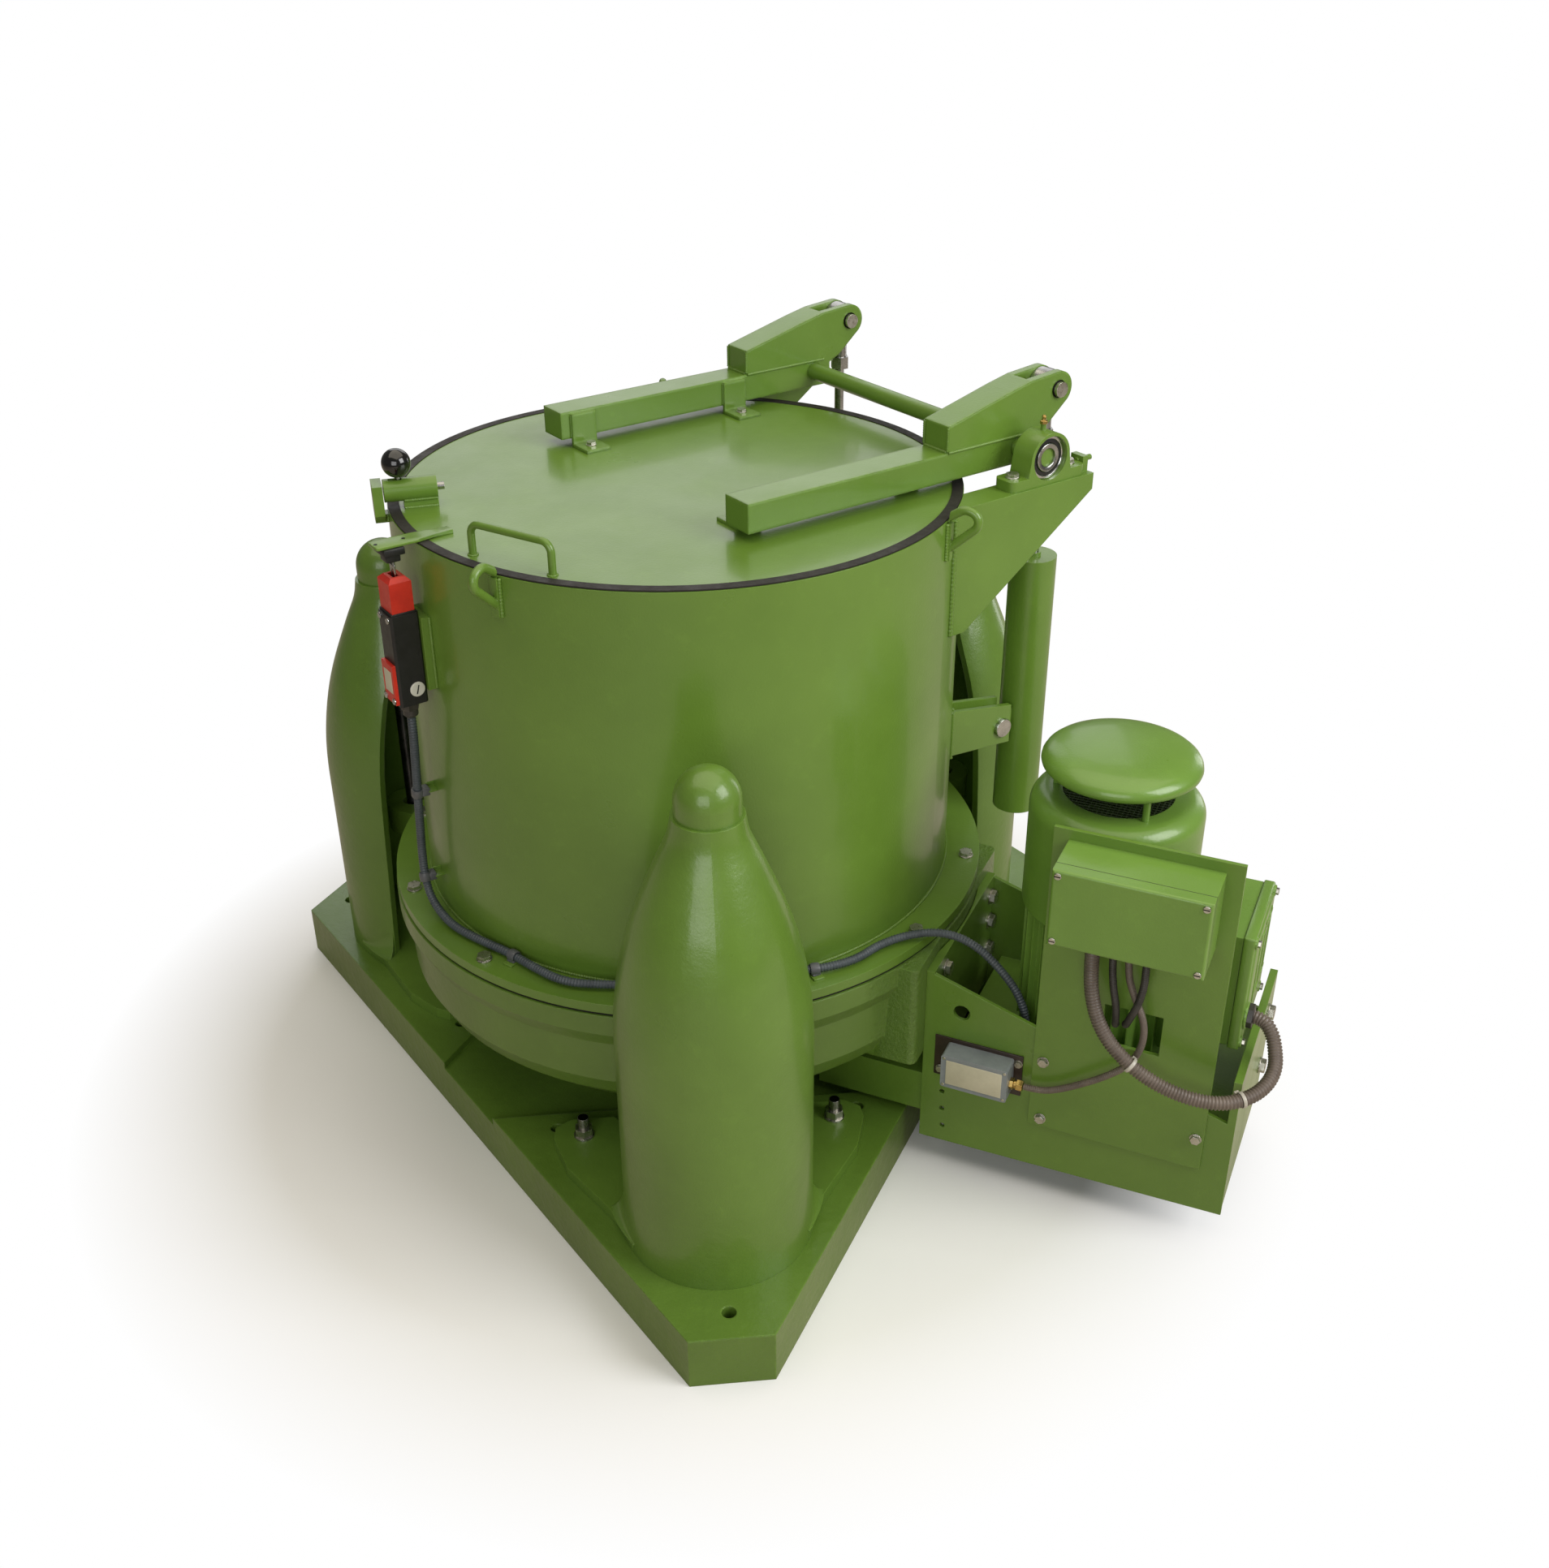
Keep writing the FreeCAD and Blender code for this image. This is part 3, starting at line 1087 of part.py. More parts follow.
def spindle():
    return join([disc(SPINDLE_R, 94, BASKET_Z[0] + 60), disc(34, 374, BASKET_Z[0] - 12)])


def basket():
    """Bottom with its hub, perforated wall, and the top lip that keeps the cake in."""
    z0, z1 = BASKET_Z
    r = BASKET_R
    w = BASKET_WALL
    bore = SPINDLE_R + RUN / 2
    floor = z0 + w + 4
    bottom = lathe([(bore, z0 - 12), (70, z0 - 12), (90, z0), (r, z0), (r, floor), (90, floor),
                    (62, z0 + 90), (48, z0 + 100), (bore, z0 + 100)])
    lip = ring(r, BASKET_LIP_R, z1 - w, z1)
    cutters = []
    for row in range(DRAIN_ROWS):
        z = z0 + (z1 - z0) * (row + 0.6) / (DRAIN_ROWS + 0.2)
        for i in range(DRAIN_COUNT):
            a = 360 / DRAIN_COUNT * (i + 0.5 * (row % 2))
            cutters.append(turned(rod(DRAIN_R, (r - w - 4, 0, z), (r + 4, 0, z)), a))
    return group([bottom, ring(r, r - w, floor, z1 - w).cut(cutters), lip])


def motor_rotor():
    """Motor shaft with the rotor core, and the cooling fan."""
    shaft = join([disc(MOTOR_SHAFT_R, 92, 520, MOTOR_X), disc(55, 245, 425, MOTOR_X)])
    fan = ring(34, MOTOR_SHAFT_R + RUN / 2, 478, 512, MOTOR_X)
    blades = []
    for i in range(8):
        blade = box((30, 92), (-2, 2), (482, 512))
        blade.rotate(V(0, 0, 0), UP, 45 * i)
        blade.translate(V(MOTOR_X, 0, 0))
        blades.append(blade)
    return group([shaft, join([fan] + blades)])


PARTS["drive_belts"] = drive_belts()
PARTS["belt_guard"] = belt_guard()
PARTS["spindle_housing"] = spindle_housing()
PARTS["spindle"] = spindle()
PARTS["driven_pulley"] = pulley(DRIVEN_R, 0, SPINDLE_R + RUN / 2)
PARTS["basket"] = basket()
PARTS["motor_rotor"] = motor_rotor()
PARTS["drive_pulley"] = pulley(DRIVE_R, MOTOR_X, MOTOR_SHAFT_R + RUN / 2)

os.makedirs("parts", exist_ok=True)
for name, shape in PARTS.items():
    bad = [s for s in shape.Solids if not s.isValid()]
    print(name, len(shape.Solids), "solids", "%.0f cm3" % (shape.Volume / 1000), "INVALID" if bad else "")
    shape.exportStep("parts/" + name + ".step")
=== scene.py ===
import math
import random

import bmesh
import bpy
from mathutils import Matrix, Vector


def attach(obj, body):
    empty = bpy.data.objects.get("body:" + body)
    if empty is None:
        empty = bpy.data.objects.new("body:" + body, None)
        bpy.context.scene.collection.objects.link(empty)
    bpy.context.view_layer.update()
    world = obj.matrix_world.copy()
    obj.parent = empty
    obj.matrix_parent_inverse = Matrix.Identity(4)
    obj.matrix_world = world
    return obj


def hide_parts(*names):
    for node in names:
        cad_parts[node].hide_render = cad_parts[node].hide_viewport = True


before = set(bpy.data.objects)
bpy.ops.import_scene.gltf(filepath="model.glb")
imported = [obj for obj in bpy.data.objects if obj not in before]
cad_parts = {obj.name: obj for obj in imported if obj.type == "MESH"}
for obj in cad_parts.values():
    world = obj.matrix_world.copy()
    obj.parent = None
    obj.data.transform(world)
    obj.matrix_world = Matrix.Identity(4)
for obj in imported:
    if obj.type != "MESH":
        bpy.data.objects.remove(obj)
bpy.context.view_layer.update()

MM = 0.001
Z = Vector((0, 0, 1))
DOWN = Vector((0, 0, -1))


# ---- camera -------------------------------------------------------------
CAMERA_PLACE = (1.0436, -1.9985, 1.7622)
CAMERA_LOOK = (-0.3558, 0.7928, -0.4947)
CAMERA_ROLL = -0.31              # degrees
CAMERA_LENS = 38.88              # millimetres, on a sensor 36 mm wide


def make_camera():
    data = bpy.data.cameras.new("camera")
    data.sensor_width = 36
    data.sensor_fit = "HORIZONTAL"
    data.lens = CAMERA_LENS
    data.clip_end = 60
    camera = bpy.data.objects.new("camera", data)
    bpy.context.scene.collection.objects.link(camera)
    look = Vector(CAMERA_LOOK).normalized()
    right = look.cross(Z).normalized()
    up = right.cross(look)
    roll = math.radians(CAMERA_ROLL)
    right, up = right * math.cos(roll) + up * math.sin(roll), up * math.cos(roll) - right * math.sin(roll)
    basis = Matrix((right, up, -look)).transposed().to_4x4()
    camera.matrix_world = Matrix.Translation(CAMERA_PLACE) @ basis
    bpy.context.scene.camera = camera


make_camera()


# ---- materials ----------------------------------------------------------
def linear(r, g, b):
    """A screen colour, 0 to 255, as the linear colour that the shader takes."""
    out = []
    for c in (r / 255, g / 255, b / 255):
        out.append(c / 12.92 if c < 0.04045 else ((c + 0.055) / 1.055) ** 2.4)
    return (*out, 1)


class Nodes:
    """A short way to build one material's node tree in object space."""

    def __init__(self, name):
        self.material = bpy.data.materials.new(name)
        self.material.use_nodes = True
        self.tree = self.material.node_tree
        self.shader = self.tree.nodes["Principled BSDF"]
        self.place = self.tree.nodes.new("ShaderNodeTexCoord").outputs["Object"]

    def node(self, kind, **values):
        node = self.tree.nodes.new(kind)
        for key, value in values.items():
            if key in node.inputs:
                node.inputs[key].default_value = value
            else:
                setattr(node, key, value)
        return node

    def link(self, a, b):
        self.tree.links.new(a, b)

    def noise(self, scale, detail=3.0, rough=0.55, stretch=None):
        """Cloudy noise; stretch draws it out along an axis, for a grain."""
        node = self.node("ShaderNodeTexNoise", Scale=scale, Detail=detail, Roughness=rough)
        source = self.place
        if stretch:
            mapping = self.node("ShaderNodeMapping")
            mapping.inputs["Scale"].default_value = stretch
            self.link(source, mapping.inputs["Vector"])
            source = mapping.outputs["Vector"]
        self.link(source, node.inputs["Vector"])
        return node.outputs["Fac"]

    def ramp(self, source, low, high, out_low=0.0, out_high=1.0):
        """Maps low..high onto out_low..out_high, clamped."""
        node = self.node("ShaderNodeMapRange")
        self.link(source, node.inputs["Value"])
        node.inputs["From Min"].default_value = low
        node.inputs["From Max"].default_value = high
        node.inputs["To Min"].default_value = out_low
        node.inputs["To Max"].default_value = out_high
        return node.outputs["Result"]

    def mix(self, factor, a, b):
        """Goes from a to b, each a colour or a socket."""
        node = self.node("ShaderNodeMix", data_type="RGBA")
        self.link(factor, node.inputs["Factor"])
        for socket, value in ((node.inputs["A"], a), (node.inputs["B"], b)):
            if isinstance(value, tuple):
                socket.default_value = value
            else:
                self.link(value, socket)
        return node.outputs["Result"]

    def multiply(self, a, b):
        node = self.node("ShaderNodeMath", operation="MULTIPLY")
        self.link(a, node.inputs[0])
        if isinstance(b, float):
            node.inputs[1].default_value = b
        else:
            self.link(b, node.inputs[1])
        return node.outputs["Value"]

    def edges(self, radius):
        """White where the surface turns sharply, from the rounded normal."""
        bevel = self.node("ShaderNodeBevel", samples=4, Radius=radius)
        flat = self.node("ShaderNodeNewGeometry").outputs["Normal"]
        dot = self.node("ShaderNodeVectorMath", operation="DOT_PRODUCT")
        self.link(bevel.outputs["Normal"], dot.inputs[0])
        self.link(flat, dot.inputs[1])
        return bevel.outputs["Normal"], self.ramp(dot.outputs["Value"], 0.99, 0.85)

    def bump(self, height, distance, normal=None, strength=1.0):
        node = self.node("ShaderNodeBump", Strength=strength, Distance=distance)
        self.link(height, node.inputs["Height"])
        if normal:
            self.link(normal, node.inputs["Normal"])
        return node.outputs["Normal"]

    def finish(self, color=None, rough=None, normal=None, **plain):
        """Joins the sockets to the shader and sets its plain inputs."""
        if color:
            self.link(color, self.shader.inputs["Base Color"])
        if rough:
            self.link(rough, self.shader.inputs["Roughness"])
        if normal:
            self.link(normal, self.shader.inputs["Normal"])
        for key, value in plain.items():
            self.shader.inputs[key.replace("_", " ")].default_value = value
        return self.material


def brighter(color, share, lift=0.0):
    return tuple(min(1, c * share + lift) for c in color[:3]) + (1,)


def enamel(name, light, dark, cast=0.0, edge_r=0.0016, rough_from=None):
    """Glossy machine enamel: slow colour drift, dust, orange peel, lighter edges that are partly wear and
    partly a painted highlight.

    cast adds the waves of a casting, and rough_from is the x from which it is coarse."""
    n = Nodes(name)
    drift = n.ramp(n.noise(3.5, 4, 0.6), 0.35, 0.65)
    color = n.mix(drift, light, dark)
    dust = n.ramp(n.noise(38, 5, 0.7), 0.56, 0.78, 0.0, 0.22)
    color = n.mix(dust, color, brighter(light, 1.35))
    rounded, edge = n.edges(edge_r)
    # Edges lightened in the colour: partly wear, partly a painted highlight on the edges.
    wear_and_edge_highlight = n.multiply(edge, n.ramp(n.noise(60, 4, 0.7), 0.35, 0.7, 0.1, 0.75))
    color = n.mix(wear_and_edge_highlight, color, brighter(light, 1.8))
    rough = n.ramp(n.noise(9, 4, 0.6), 0.3, 0.75, 0.27, 0.42)
    peel = n.bump(n.noise(330, 2, 0.5), 0.00022, rounded)
    if cast:
        peel = n.bump(n.noise(95, 3, 0.5), 0.0011 * cast, peel)
        peel = n.bump(n.noise(24, 2, 0.5), 0.0022 * cast, peel)
    if rough_from:
        split = n.node("ShaderNodeSeparateXYZ")
        n.link(n.place, split.inputs["Vector"])
        there = n.ramp(split.outputs["X"], rough_from, rough_from + 0.01)
        peel = n.bump(n.multiply(n.noise(150, 5, 0.7), there), 0.0035, peel)
    return n.finish(color, rough, peel, Coat_Weight=0.35, Coat_Roughness=0.12, Specular_IOR_Level=0.5)


def metal(name, light, dark, rough=0.3, grain=(1, 1, 1)):
    """Bare or plated metal with fine marks, drawn out along its grain, and a painted highlight on its edges.
    """
    n = Nodes(name)
    color = n.mix(n.ramp(n.noise(45, 4, 0.6), 0.35, 0.7), light, dark)
    rounded, edge = n.edges(0.0006)
    # Painted highlight: the edges are lightened in the colour.
    color = n.mix(n.multiply(edge, 0.5), color, brighter(light, 1.3))
    marks = n.noise(260, 3, 0.6, grain)
    return n.finish(color, n.ramp(marks, 0.3, 0.75, rough * 0.75, rough * 1.35),
                    n.bump(marks, 0.00006, rounded), Metallic=1.0)


def plastic(name, light, dark, rough=0.45, grain=420.0, depth=0.00008, coat=0.0):
    """Moulded plastic or rubber, also plain painted parts, with a fine grain and a painted highlight on the
    edges.
    """
    n = Nodes(name)
    color = n.mix(n.ramp(n.noise(25, 4, 0.65), 0.35, 0.7), light, dark)
    rounded, edge = n.edges(0.0008)
    # Painted highlight: the edges are lightened in the colour.
    color = n.mix(n.multiply(edge, 0.3), color, brighter(light, 1.6, 0.01))
    rough = n.ramp(n.noise(60, 4, 0.6), 0.3, 0.75, rough * 0.8, rough * 1.2)
    return n.finish(color, rough, n.bump(n.noise(grain, 2, 0.5), depth, rounded), Coat_Weight=coat)


GREEN = enamel("green_enamel", linear(104, 138, 50), linear(95, 128, 44))
GREEN_CAST = enamel("green_cast_enamel", linear(101, 134, 50), linear(91, 122, 43), cast=0.35)
GREEN_PAN = enamel("green_pan_enamel", linear(99, 131, 48), linear(88, 118, 41), 0.3, 0.003, 0.385)
GREEN_BASE = enamel("green_base_enamel", linear(99, 131, 48), linear(88, 118, 41), 0.6, 0.004)
GREEN_TUBE = enamel("green_tube_enamel", linear(103, 137, 50), linear(95, 128, 45), 0.0, 0.006)
GREEN_BRIGHT = enamel("green_motor_enamel", linear(112, 149, 60), linear(103, 139, 54))
ZINC = metal("zinc_plate", linear(206, 204, 196), linear(166, 162, 150), 0.32)
STEEL = metal("ground_steel", linear(190, 190, 188), linear(150, 150, 148), 0.24, (1, 1, 12))
SPRING = metal("oiled_spring_steel", linear(92, 92, 95), linear(60, 60, 64), 0.35)
STAINLESS = metal("satin_stainless", linear(200, 200, 198), linear(172, 172, 170), 0.34, (1, 1, 8))
BLACK_STEEL = metal("black_oxide_steel", linear(38, 38, 38), linear(22, 22, 22), 0.4)
CHROME = metal("bearing_steel", linear(222, 222, 222), linear(190, 190, 190), 0.14)
CAST_IRON = metal("machined_cast_iron", linear(104, 104, 106), linear(74, 74, 76), 0.42)
BRASS = metal("plated_brass", linear(205, 178, 112), linear(168, 138, 76), 0.3)
ALUMINIUM = plastic("grey_die_cast_box", linear(142, 148, 152), linear(122, 128, 132), 0.42, 300, 0.00012)
RUBBER = plastic("black_rubber", linear(33, 29, 26), linear(22, 19, 17), 0.65, 500, 0.0001)
BLACK = plastic("black_plastic", linear(32, 32, 32), linear(20, 20, 20), 0.42, 500, 0.00008)
BALL = plastic("polished_black_ball", linear(20, 20, 20), linear(13, 13, 13), 0.14, 300, 0.00001, 0.6)
RED = plastic("red_plastic", linear(214, 52, 34), linear(192, 40, 27), 0.4)
CREAM = plastic("bare_label_plate", linear(206, 200, 176), linear(190, 184, 160), 0.45, 200, 0.00003)
WHITE = plastic("white_plastic", linear(214, 212, 200), linear(196, 194, 182), 0.42)
GREY_CONDUIT = plastic("blue_grey_conduit", linear(82, 90, 96), linear(60, 67, 74), 0.42, 300, 0.00006)
CLIP = plastic("grey_clip", linear(98, 100, 104), linear(78, 80, 84), 0.4)
BROWN_CONDUIT = plastic("brown_grey_conduit", linear(118, 106, 96), linear(92, 81, 73), 0.42, 300, 0.00006)
DARK_CONDUIT = plastic("dark_conduit", linear(66, 62, 58), linear(46, 43, 40), 0.45, 300, 0.00006)
TIE = plastic("clear_nylon", linear(196, 190, 178), linear(172, 166, 154), 0.35)
DARK_PLATE = plastic("oiled_mounting_plate", linear(58, 44, 36), linear(40, 30, 26), 0.4)
MESH = plastic("painted_wire_mesh", linear(52, 68, 32), linear(34, 46, 20), 0.5)

FINISH = {
    GREEN: ("casing", "hinge_brackets", "bearing_blocks", "lid_plate", "motor_bracket",
            "lid_handle", "latch_barrel", "catch_plate", "switch_bracket", "lifting_lugs", "trunnion_forks",
            "balance_cylinder_near", "balance_cylinder_far", "back_plate", "belt_guard", "hinge_shaft"),
    GREEN_CAST: ("column_a", "column_b", "column_c", "column_caps"),
    GREEN_PAN: ("pan",),
    GREEN_BASE: ("base_plate",),
    GREEN_TUBE: ("lid_arm_near", "lid_arm_far"),
    GREEN_BRIGHT: ("motor_frame", "motor_cowl", "motor_hood", "terminal_box", "terminal_box_lid",
                   "junction_box", "junction_box_lid"),
    ZINC: ("casing_bolts", "arm_bolts", "foot_fasteners"),
    STEEL: ("latch_pin", "switch_key", "piston_rod_near", "piston_rod_far", "spindle", "motor_rotor"),
    SPRING: ("balance_spring_near", "balance_spring_far", "suspension_rod_a", "suspension_rod_b",
             "suspension_rod_c"),
    STAINLESS: ("basket",),
    CAST_IRON: ("spindle_housing", "driven_pulley", "drive_pulley"),
    RUBBER: ("lid_gasket", "pan_gasket", "drive_belts"),
    BLACK: ("switch_body",),
    BALL: ("latch_knob",),
    RED: ("switch_covers",),
    ALUMINIUM: ("sensor_box",),
    GREY_CONDUIT: ("switch_conduit",),
    BROWN_CONDUIT: ("motor_lead", "sensor_lead"),
    DARK_CONDUIT: ("conduit_fittings",),
}


def dress_nodes():
    """Gives every node of the frame its material."""
    for material, names in FINISH.items():
        for name in names:
            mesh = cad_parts[name].data
            mesh.materials.clear()
            mesh.materials.append(material)
    missing = set(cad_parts) - {n for names in FINISH.values() for n in names}
    if missing:
        raise SystemExit("no finish for %s" % sorted(missing))


dress_nodes()


# ---- sizes, in millimetres, as the solids have them ----------------------
HINGE_ANGLE = 60                 # the lid opens towards this direction
COLUMN_ANGLES = {"a": -60, "b": 180, "c": 60}
COLUMN_R = 528
COLUMN_BELL_R = 130
FOOT_TOP = 100
FOOT_EAR = (353, 185)            # foot stud, radial and sideways
CASING_R = 400
WELD_R = CASING_R + 1.2          # middle of the weld beads on the casing
FLANGE_TOP = 392.5
LID_TOP = 974
ARM_S = (212, 262)               # inner and outer side of each lid arm
ARM_Z = (987, 1027)
ARM_FEET_T = (-27, 243)
ARM_FOOT_HALF = 20
HINGE_T = CASING_R + 1
HINGE_Z = 1011
EAR_T = HINGE_T + 71
EAR_Z = ARM_Z[1] + 53.6
GUSSET_T = 270                   # front of the raised part of each arm
BRACKET_S = (320, 330)           # web of the hinge brackets
BRACKET_WELD_Z = (793, 962)
BLOCK_S = 308                    # middle of the bearing blocks
BLOCK_TOP = 1056
BEARING_R = 31
INNER_RING_R = 20
SHAFT_R = 13
SHAFT_HALF = 318
PIVOT_T = EAR_T - 60
PIVOT_Z = 561
PIVOT_HEAD = (257.2, 262.5)      # the pivot pin's head, from seat to top
FORK_SIDES = (257, 249, 225, 217)         # faces of each fork's two plates
FORK_WELD_Z = (541, 618)
LATCH_ANGLE = -140
LATCH_FOOT = (333, 377)
CATCH_WELD_Z = (959, 967)
HANDLE_FEET = ((-108, -354), (18, -372))
LUG_ANGLES = (-97, 0, 120)
LUG_ROD_R = 6
LUG_BAR_Z = (918, 970)
SWITCH_ANGLE = -121
SWITCH_R = CASING_R + 32         # distance of the switch's axis
SWITCH_HALF = 20
SWITCH_Z = (755, 885)
SWITCH_BRACKET_HALF = 24
SWITCH_WELD_Z = (773, 875)
COVER_FACE = SWITCH_R + SWITCH_HALF + 5
KEY_BAR = (347, SWITCH_R + 24)
KEY_TIP = 921
MOTOR_X = 662
COWL_R = 119.5
COWL_TOP = 623
COWL_WALL = 3
COWL_BEND = 26
INNER_BEND = 0.88                # radius of the bend's inside, as a share of its outside
FRAME_R = 104
GRILLE_R = 76
HOOD_Z = (660, 694)
BRACKET_FACE = -148              # y of the motor bracket's near face
BRACKET_PAD_X = 459              # face of its plate on the pan
BRACKET_END_X = 898
BOX_WALL_Y = -142
JBOX_X = (633, 837)
JBOX_Z = (505, 620)
JBOX_FACE = -228
JBOX_JOINT = -208
SENSOR_X = (486, 585)
SENSOR_Z = (183, 239)
SENSOR_FACE = -178
TBOX_JOINT = 863                 # x of the joint between the terminal box and its cover
TBOX_COVER = 883
TBOX_HALF = 76
TBOX_Z = (303, 481)


# ---- mesh building ------------------------------------------------------
def turn(angle):
    return Matrix.Rotation(math.radians(angle), 4, "Z")


def tilt(axis, angle):
    return Matrix.Rotation(math.radians(angle), 4, axis)


def shift(*by):
    return Matrix.Translation(by)


HINGE = turn(HINGE_ANGLE)        # local x towards the hinge, local -y the near side
FAR = HINGE @ Matrix.Scale(-1, 4, (0, 1, 0))


def polar(r, angle, z):
    """The point at a distance and an angle, in degrees, round the vertical axis."""
    a = math.radians(angle)
    return Vector((r * math.cos(a), r * math.sin(a), z))


class Shape:
    """Collects several closed forms, in millimetres, into one mesh piece."""

    def __init__(self, place=Matrix.Identity(4)):
        self.bm = bmesh.new()
        self.place = place

    def add(self, part, matrix=Matrix.Identity(4)):
        """Takes over a finished part; a mirroring matrix turns its faces round again."""
        matrix = self.place @ matrix
        part.transform(matrix)
        if matrix.determinant() < 0:
            bmesh.ops.reverse_faces(part, faces=part.faces)
        mesh = bpy.data.meshes.new("part")
        part.to_mesh(mesh)
        part.free()
        self.bm.from_mesh(mesh)
        bpy.data.meshes.remove(mesh)
        return self

    def box(self, low, high, bevel=0.0, matrix=Matrix.Identity(4)):
        """A box from corner to corner, with rounded edges where bevel is set."""
        part = bmesh.new()
        bmesh.ops.create_cube(part, size=1)
        size = Vector(high) - Vector(low)
        bmesh.ops.scale(part, vec=size, verts=part.verts)
        bmesh.ops.translate(part, vec=(Vector(high) + Vector(low)) / 2, verts=part.verts)
        if bevel:
            bmesh.ops.bevel(part, geom=part.edges[:], offset=bevel, segments=3, profile=0.5, affect="EDGES")
        return self.add(part, matrix)

    def plate(self, outline, z0, z1, matrix, bevel=1.0):
        """A flat plate of the given outline with softened edges."""
        part = bmesh.new()
        low = [part.verts.new((x, y, z0)) for x, y in outline]
        high = [part.verts.new((x, y, z1)) for x, y in outline]
        part.faces.new(low[::-1])
        part.faces.new(high)
        for i in range(len(outline)):
            j = (i + 1) % len(outline)
            part.faces.new((low[i], low[j], high[j], high[i]))
        bmesh.ops.bevel(part, geom=part.edges[:], offset=bevel, segments=2, profile=0.5, affect="EDGES")
        return self.add(part, matrix)

    def lathe(self, profile, matrix=Matrix.Identity(4), steps=64):
        """Turns (r, z) points about z; a closed profile makes a closed ring."""
        part = bmesh.new()
        rings = []
        for r, z in profile:
            if r == 0:
                rings.append([part.verts.new((0, 0, z))] * steps)
                continue
            ring = []
            for i in range(steps):
                a = math.radians(360 * i / steps)
                ring.append(part.verts.new((r * math.cos(a), r * math.sin(a), z)))
            rings.append(ring)
        for low, high in zip(rings, rings[1:]):
            for i in range(steps):
                j = (i + 1) % steps
                corners = []
                for v in (low[i], low[j], high[j], high[i]):
                    if v not in corners:
                        corners.append(v)
                if len(corners) > 2:
                    part.faces.new(corners)
        bmesh.ops.recalc_face_normals(part, faces=part.faces)
        return self.add(part, matrix)

    def rod(self, start, end, r, steps=28, bevel=0.0):
        """A round bar between two points, with an optional chamfer."""
        start = Vector(start)
        axis = Vector(end) - start
        matrix = shift(*start) @ axis.to_track_quat("Z", "Y").to_matrix().to_4x4()
        h = axis.length
        profile = [(0, 0), (r - bevel, 0), (r, bevel), (r, h - bevel), (r - bevel, h), (0, h)]
        if not bevel:
            profile = [(0, 0), (r, 0), (r, h), (0, h)]
        return self.lathe(profile, matrix, steps)

    def hexagon(self, across, seat, axis, height, turn_by=0.0):
        """A hexagon head with its chamfered crown."""
        axis = Vector(axis)
        r = across / math.sqrt(3)
        matrix = shift(*seat) @ axis.to_track_quat("Z", "Y").to_matrix().to_4x4()
        profile = [(0, 0), (r, 0), (r, height * 0.88), (r * 0.9, height), (0, height)]
        return self.lathe(profile, matrix @ turn(turn_by), 6)

    def bolt(self, d, seat, axis, turn_by=0.0):
        """A hexagon bolt's head on its washer; d is the thread."""
        across = 1.6 * d
        axis = Vector(axis).normalized()
        seat = Vector(seat)
        washer = axis * 0.18 * d
        self.rod(seat, seat + washer, across * 0.66, 28, 0.02 * d)
        return self.hexagon(across, seat + washer, axis, 0.62 * d, turn_by)

    def tube(self, points, radius, steps=16):
        """A tube along points; radius is a number or a function of the point's index."""
        part = bmesh.new()
        rings = []
        side = None
        for i, p in enumerate(points):
            a = points[max(i - 1, 0)]
            b = points[min(i + 1, len(points) - 1)]
            way = (b - a).normalized()
            if side is None:
                side = way.orthogonal().normalized()
            else:
                side = (side - way * side.dot(way)).normalized()
            other = way.cross(side)
            r = radius(i) if callable(radius) else radius
            ring = []
            for k in range(steps):
                t = 2 * math.pi * k / steps
                ring.append(part.verts.new(p + side * (r * math.cos(t)) + other * (r * math.sin(t))))
            rings.append(ring)
        for low, high in zip(rings, rings[1:]):
            for k in range(steps):
                m = (k + 1) % steps
                part.faces.new((low[k], low[m], high[m], high[k]))
        part.faces.new(rings[0][::-1])
        part.faces.new(rings[-1])
        return self.add(part)

    def weld(self, points, r, seed):
        """A weld bead with its ripple, along a line of points."""
        line = spread(points, r * 0.45)
        wave = random.Random(seed)
        sizes = [r * (0.86 + 0.16 * math.sin(i * 1.9) + 0.10 * wave.random()) for i in range(len(line))]
        return self.tube(line, lambda i: sizes[i], 10)

    def piece(self, name, body, material, slot, replaces=(), sharp=38):
        """Ends the shape: one object in metres that rides on a body; sharp is in degrees."""
        bmesh.ops.scale(self.bm, vec=(MM, MM, MM), verts=self.bm.verts)
        mesh = bpy.data.meshes.new(name)
        self.bm.to_mesh(mesh)
        self.bm.free()
        mesh.materials.append(material)
        mesh.polygons.foreach_set("use_smooth", [True] * len(mesh.polygons))
        mesh.set_sharp_from_angle(angle=math.radians(sharp))
        obj = bpy.data.objects.new(name, mesh)
        bpy.context.scene.collection.objects.link(obj)
        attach(obj, body)
        if replaces:
            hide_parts(*replaces)
        return obj


def spread(points, step):
    """Points at an even step along a chain of straight runs."""
    points = [Vector(p) for p in points]
    out = [points[0]]
    left = step
    for a, b in zip(points, points[1:]):
        length = (b - a).length
        at = left
        while at < length:
            out.append(a.lerp(b, at / length))
            at += step
        left = at - length
    if (out[-1] - points[-1]).length > step * 0.3:
        out.append(points[-1])
    return out


# ---- conduits -----------------------------------------------------------
def spline_points(route):
    """The route's own NURBS line, read back as points."""
    data = bpy.data.curves.new("route", "CURVE")
    data.dimensions = "3D"
    spline = data.splines.new("NURBS")
    spline.points.add(len(route) - 1)
    for point, p in zip(spline.points, route):
        point.co = (*p, 1)
    spline.order_u = 3
    spline.use_endpoint_u = True
    spline.resolution_u = 24
    obj = bpy.data.objects.new("route", data)
    bpy.context.scene.collection.objects.link(obj)
    bpy.context.view_layer.update()
    mesh = bpy.data.meshes.new_from_object(obj)
    points = [v.co.copy() for v in mesh.vertices]
    bpy.data.objects.remove(obj)
    bpy.data.meshes.remove(mesh)
    return points


RIB_DEPTH = 0.16                 # groove of a corrugated conduit, as a share of its radius


